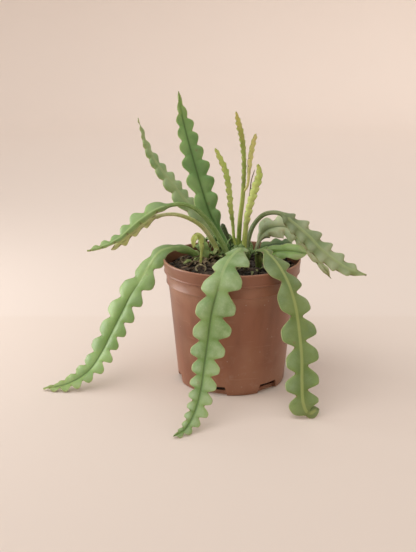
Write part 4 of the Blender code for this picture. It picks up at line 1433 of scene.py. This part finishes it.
@dataclass
class Studio:
    """A pale round sweep, a soft sun and a panel at the left, an even room light, the camera."""

    floor_radius: float = 1.9
    bend_radius: float = 0.6
    wall_height: float = 1.3
    steps: int = 96
    sun_azimuth_deg: float = -42.0
    sun_height_deg: float = 50.0
    sun_softness_deg: float = 70.0
    sun_strength: float = 1.55
    sun_colour: Colour = (1.0, 0.985, 0.96)
    room_strength: float = 0.68
    room_colour: Colour = (1.0, 0.99, 0.975)
    side_place: Point = (-0.80, 0.12, 0.17)
    side_size: float = 0.50
    side_power: float = 4.8
    side_aim: float = 0.08
    camera_place: Point = (-0.0228, -0.860, 0.354)
    camera_pitch_deg: float = 16.33
    lens_mm: float = 61.04

    def build(self) -> None:
        """Makes the backdrop, the lights and the camera."""
        self._backdrop()
        self._lights()
        self._camera()

    def _backdrop(self) -> None:
        """A floor that bends up into a wall all the way round."""
        bend = [(self.floor_radius + self.bend_radius * math.sin(a),
                 self.bend_radius * (1 - math.cos(a))) for a in np.linspace(0, math.pi / 2, 17)]
        profile = [(r, 0.0) for r in (0.3, 0.8, 1.4)] + bend
        profile.append((profile[-1][0], self.bend_radius + self.wall_height))
        axis = pot_axis()
        points = [tuple(axis)]
        for r, z in profile:
            points += [(axis.x + r * math.cos(a), axis.y + r * math.sin(a), z)
                       for a in np.linspace(0, 2 * math.pi, self.steps, endpoint=False)]
        mesh = bpy.data.meshes.new("studio_sweep")
        mesh.from_pydata(points, [], fan_faces(len(profile), self.steps))
        mesh.shade_smooth()
        mesh.materials.append(PaleBoard().material())
        sweep = show("studio_sweep", mesh)

    def _lights(self) -> None:
        """A soft sun from the upper left, a panel beside the pot and an even room light."""
        data = bpy.data.lights.new("sun", "SUN")
        data.energy = self.sun_strength
        data.angle = math.radians(self.sun_softness_deg)
        data.color = self.sun_colour
        sun = show("sun", data)
        turn, height = math.radians(self.sun_azimuth_deg), math.radians(self.sun_height_deg)
        towards = Vector((math.sin(turn) * math.cos(height), -math.cos(turn) * math.cos(height),
                          math.sin(height)))
        sun.rotation_euler = towards.to_track_quat("Z", "Y").to_euler()
        sun.location = pot_axis() + towards * 2.0
        panel = bpy.data.lights.new("side", "AREA")
        panel.size, panel.energy = self.side_size, self.side_power
        side = show("side", panel)
        side.location = pot_axis() + Vector(self.side_place)
        aim = side.location - pot_axis() - Vector((0, 0, self.side_aim))
        side.rotation_euler = aim.to_track_quat("Z", "Y").to_euler()
        side.visible_camera = False
        world = bpy.data.worlds.new("room")
        bpy.context.scene.world = world
        world.use_nodes = True
        background = world.node_tree.nodes["Background"]
        background.inputs["Color"].default_value = (*self.room_colour, 1.0)
        background.inputs["Strength"].default_value = self.room_strength

    def _camera(self) -> None:
        """The camera, in front of the plant and looking slightly down."""
        data = bpy.data.cameras.new("view")
        data.sensor_width = 36.0
        data.lens = self.lens_mm
        camera = show("view", data)
        camera.location = Vector(self.camera_place) + pot_axis()
        camera.rotation_euler = (math.radians(90 - self.camera_pitch_deg), 0.0, 0.0)
        bpy.context.scene.camera = camera
        bpy.context.scene.view_settings.view_transform = "Standard"


def main() -> None:
    """Builds every piece of the plant around the frame."""
    logging.basicConfig(level=logging.INFO, format="%(message)s")
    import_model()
    Studio().build()
    pot = NurseryPot()
    pot.build()
    mix = PottingMix(pot)
    mix.build()
    mix.chips(CHIPS)
    for stem in STEMS:
        stem.build()
    for twig in TWIGS:
        twig.build()


if __name__ == "__main__":
    main()
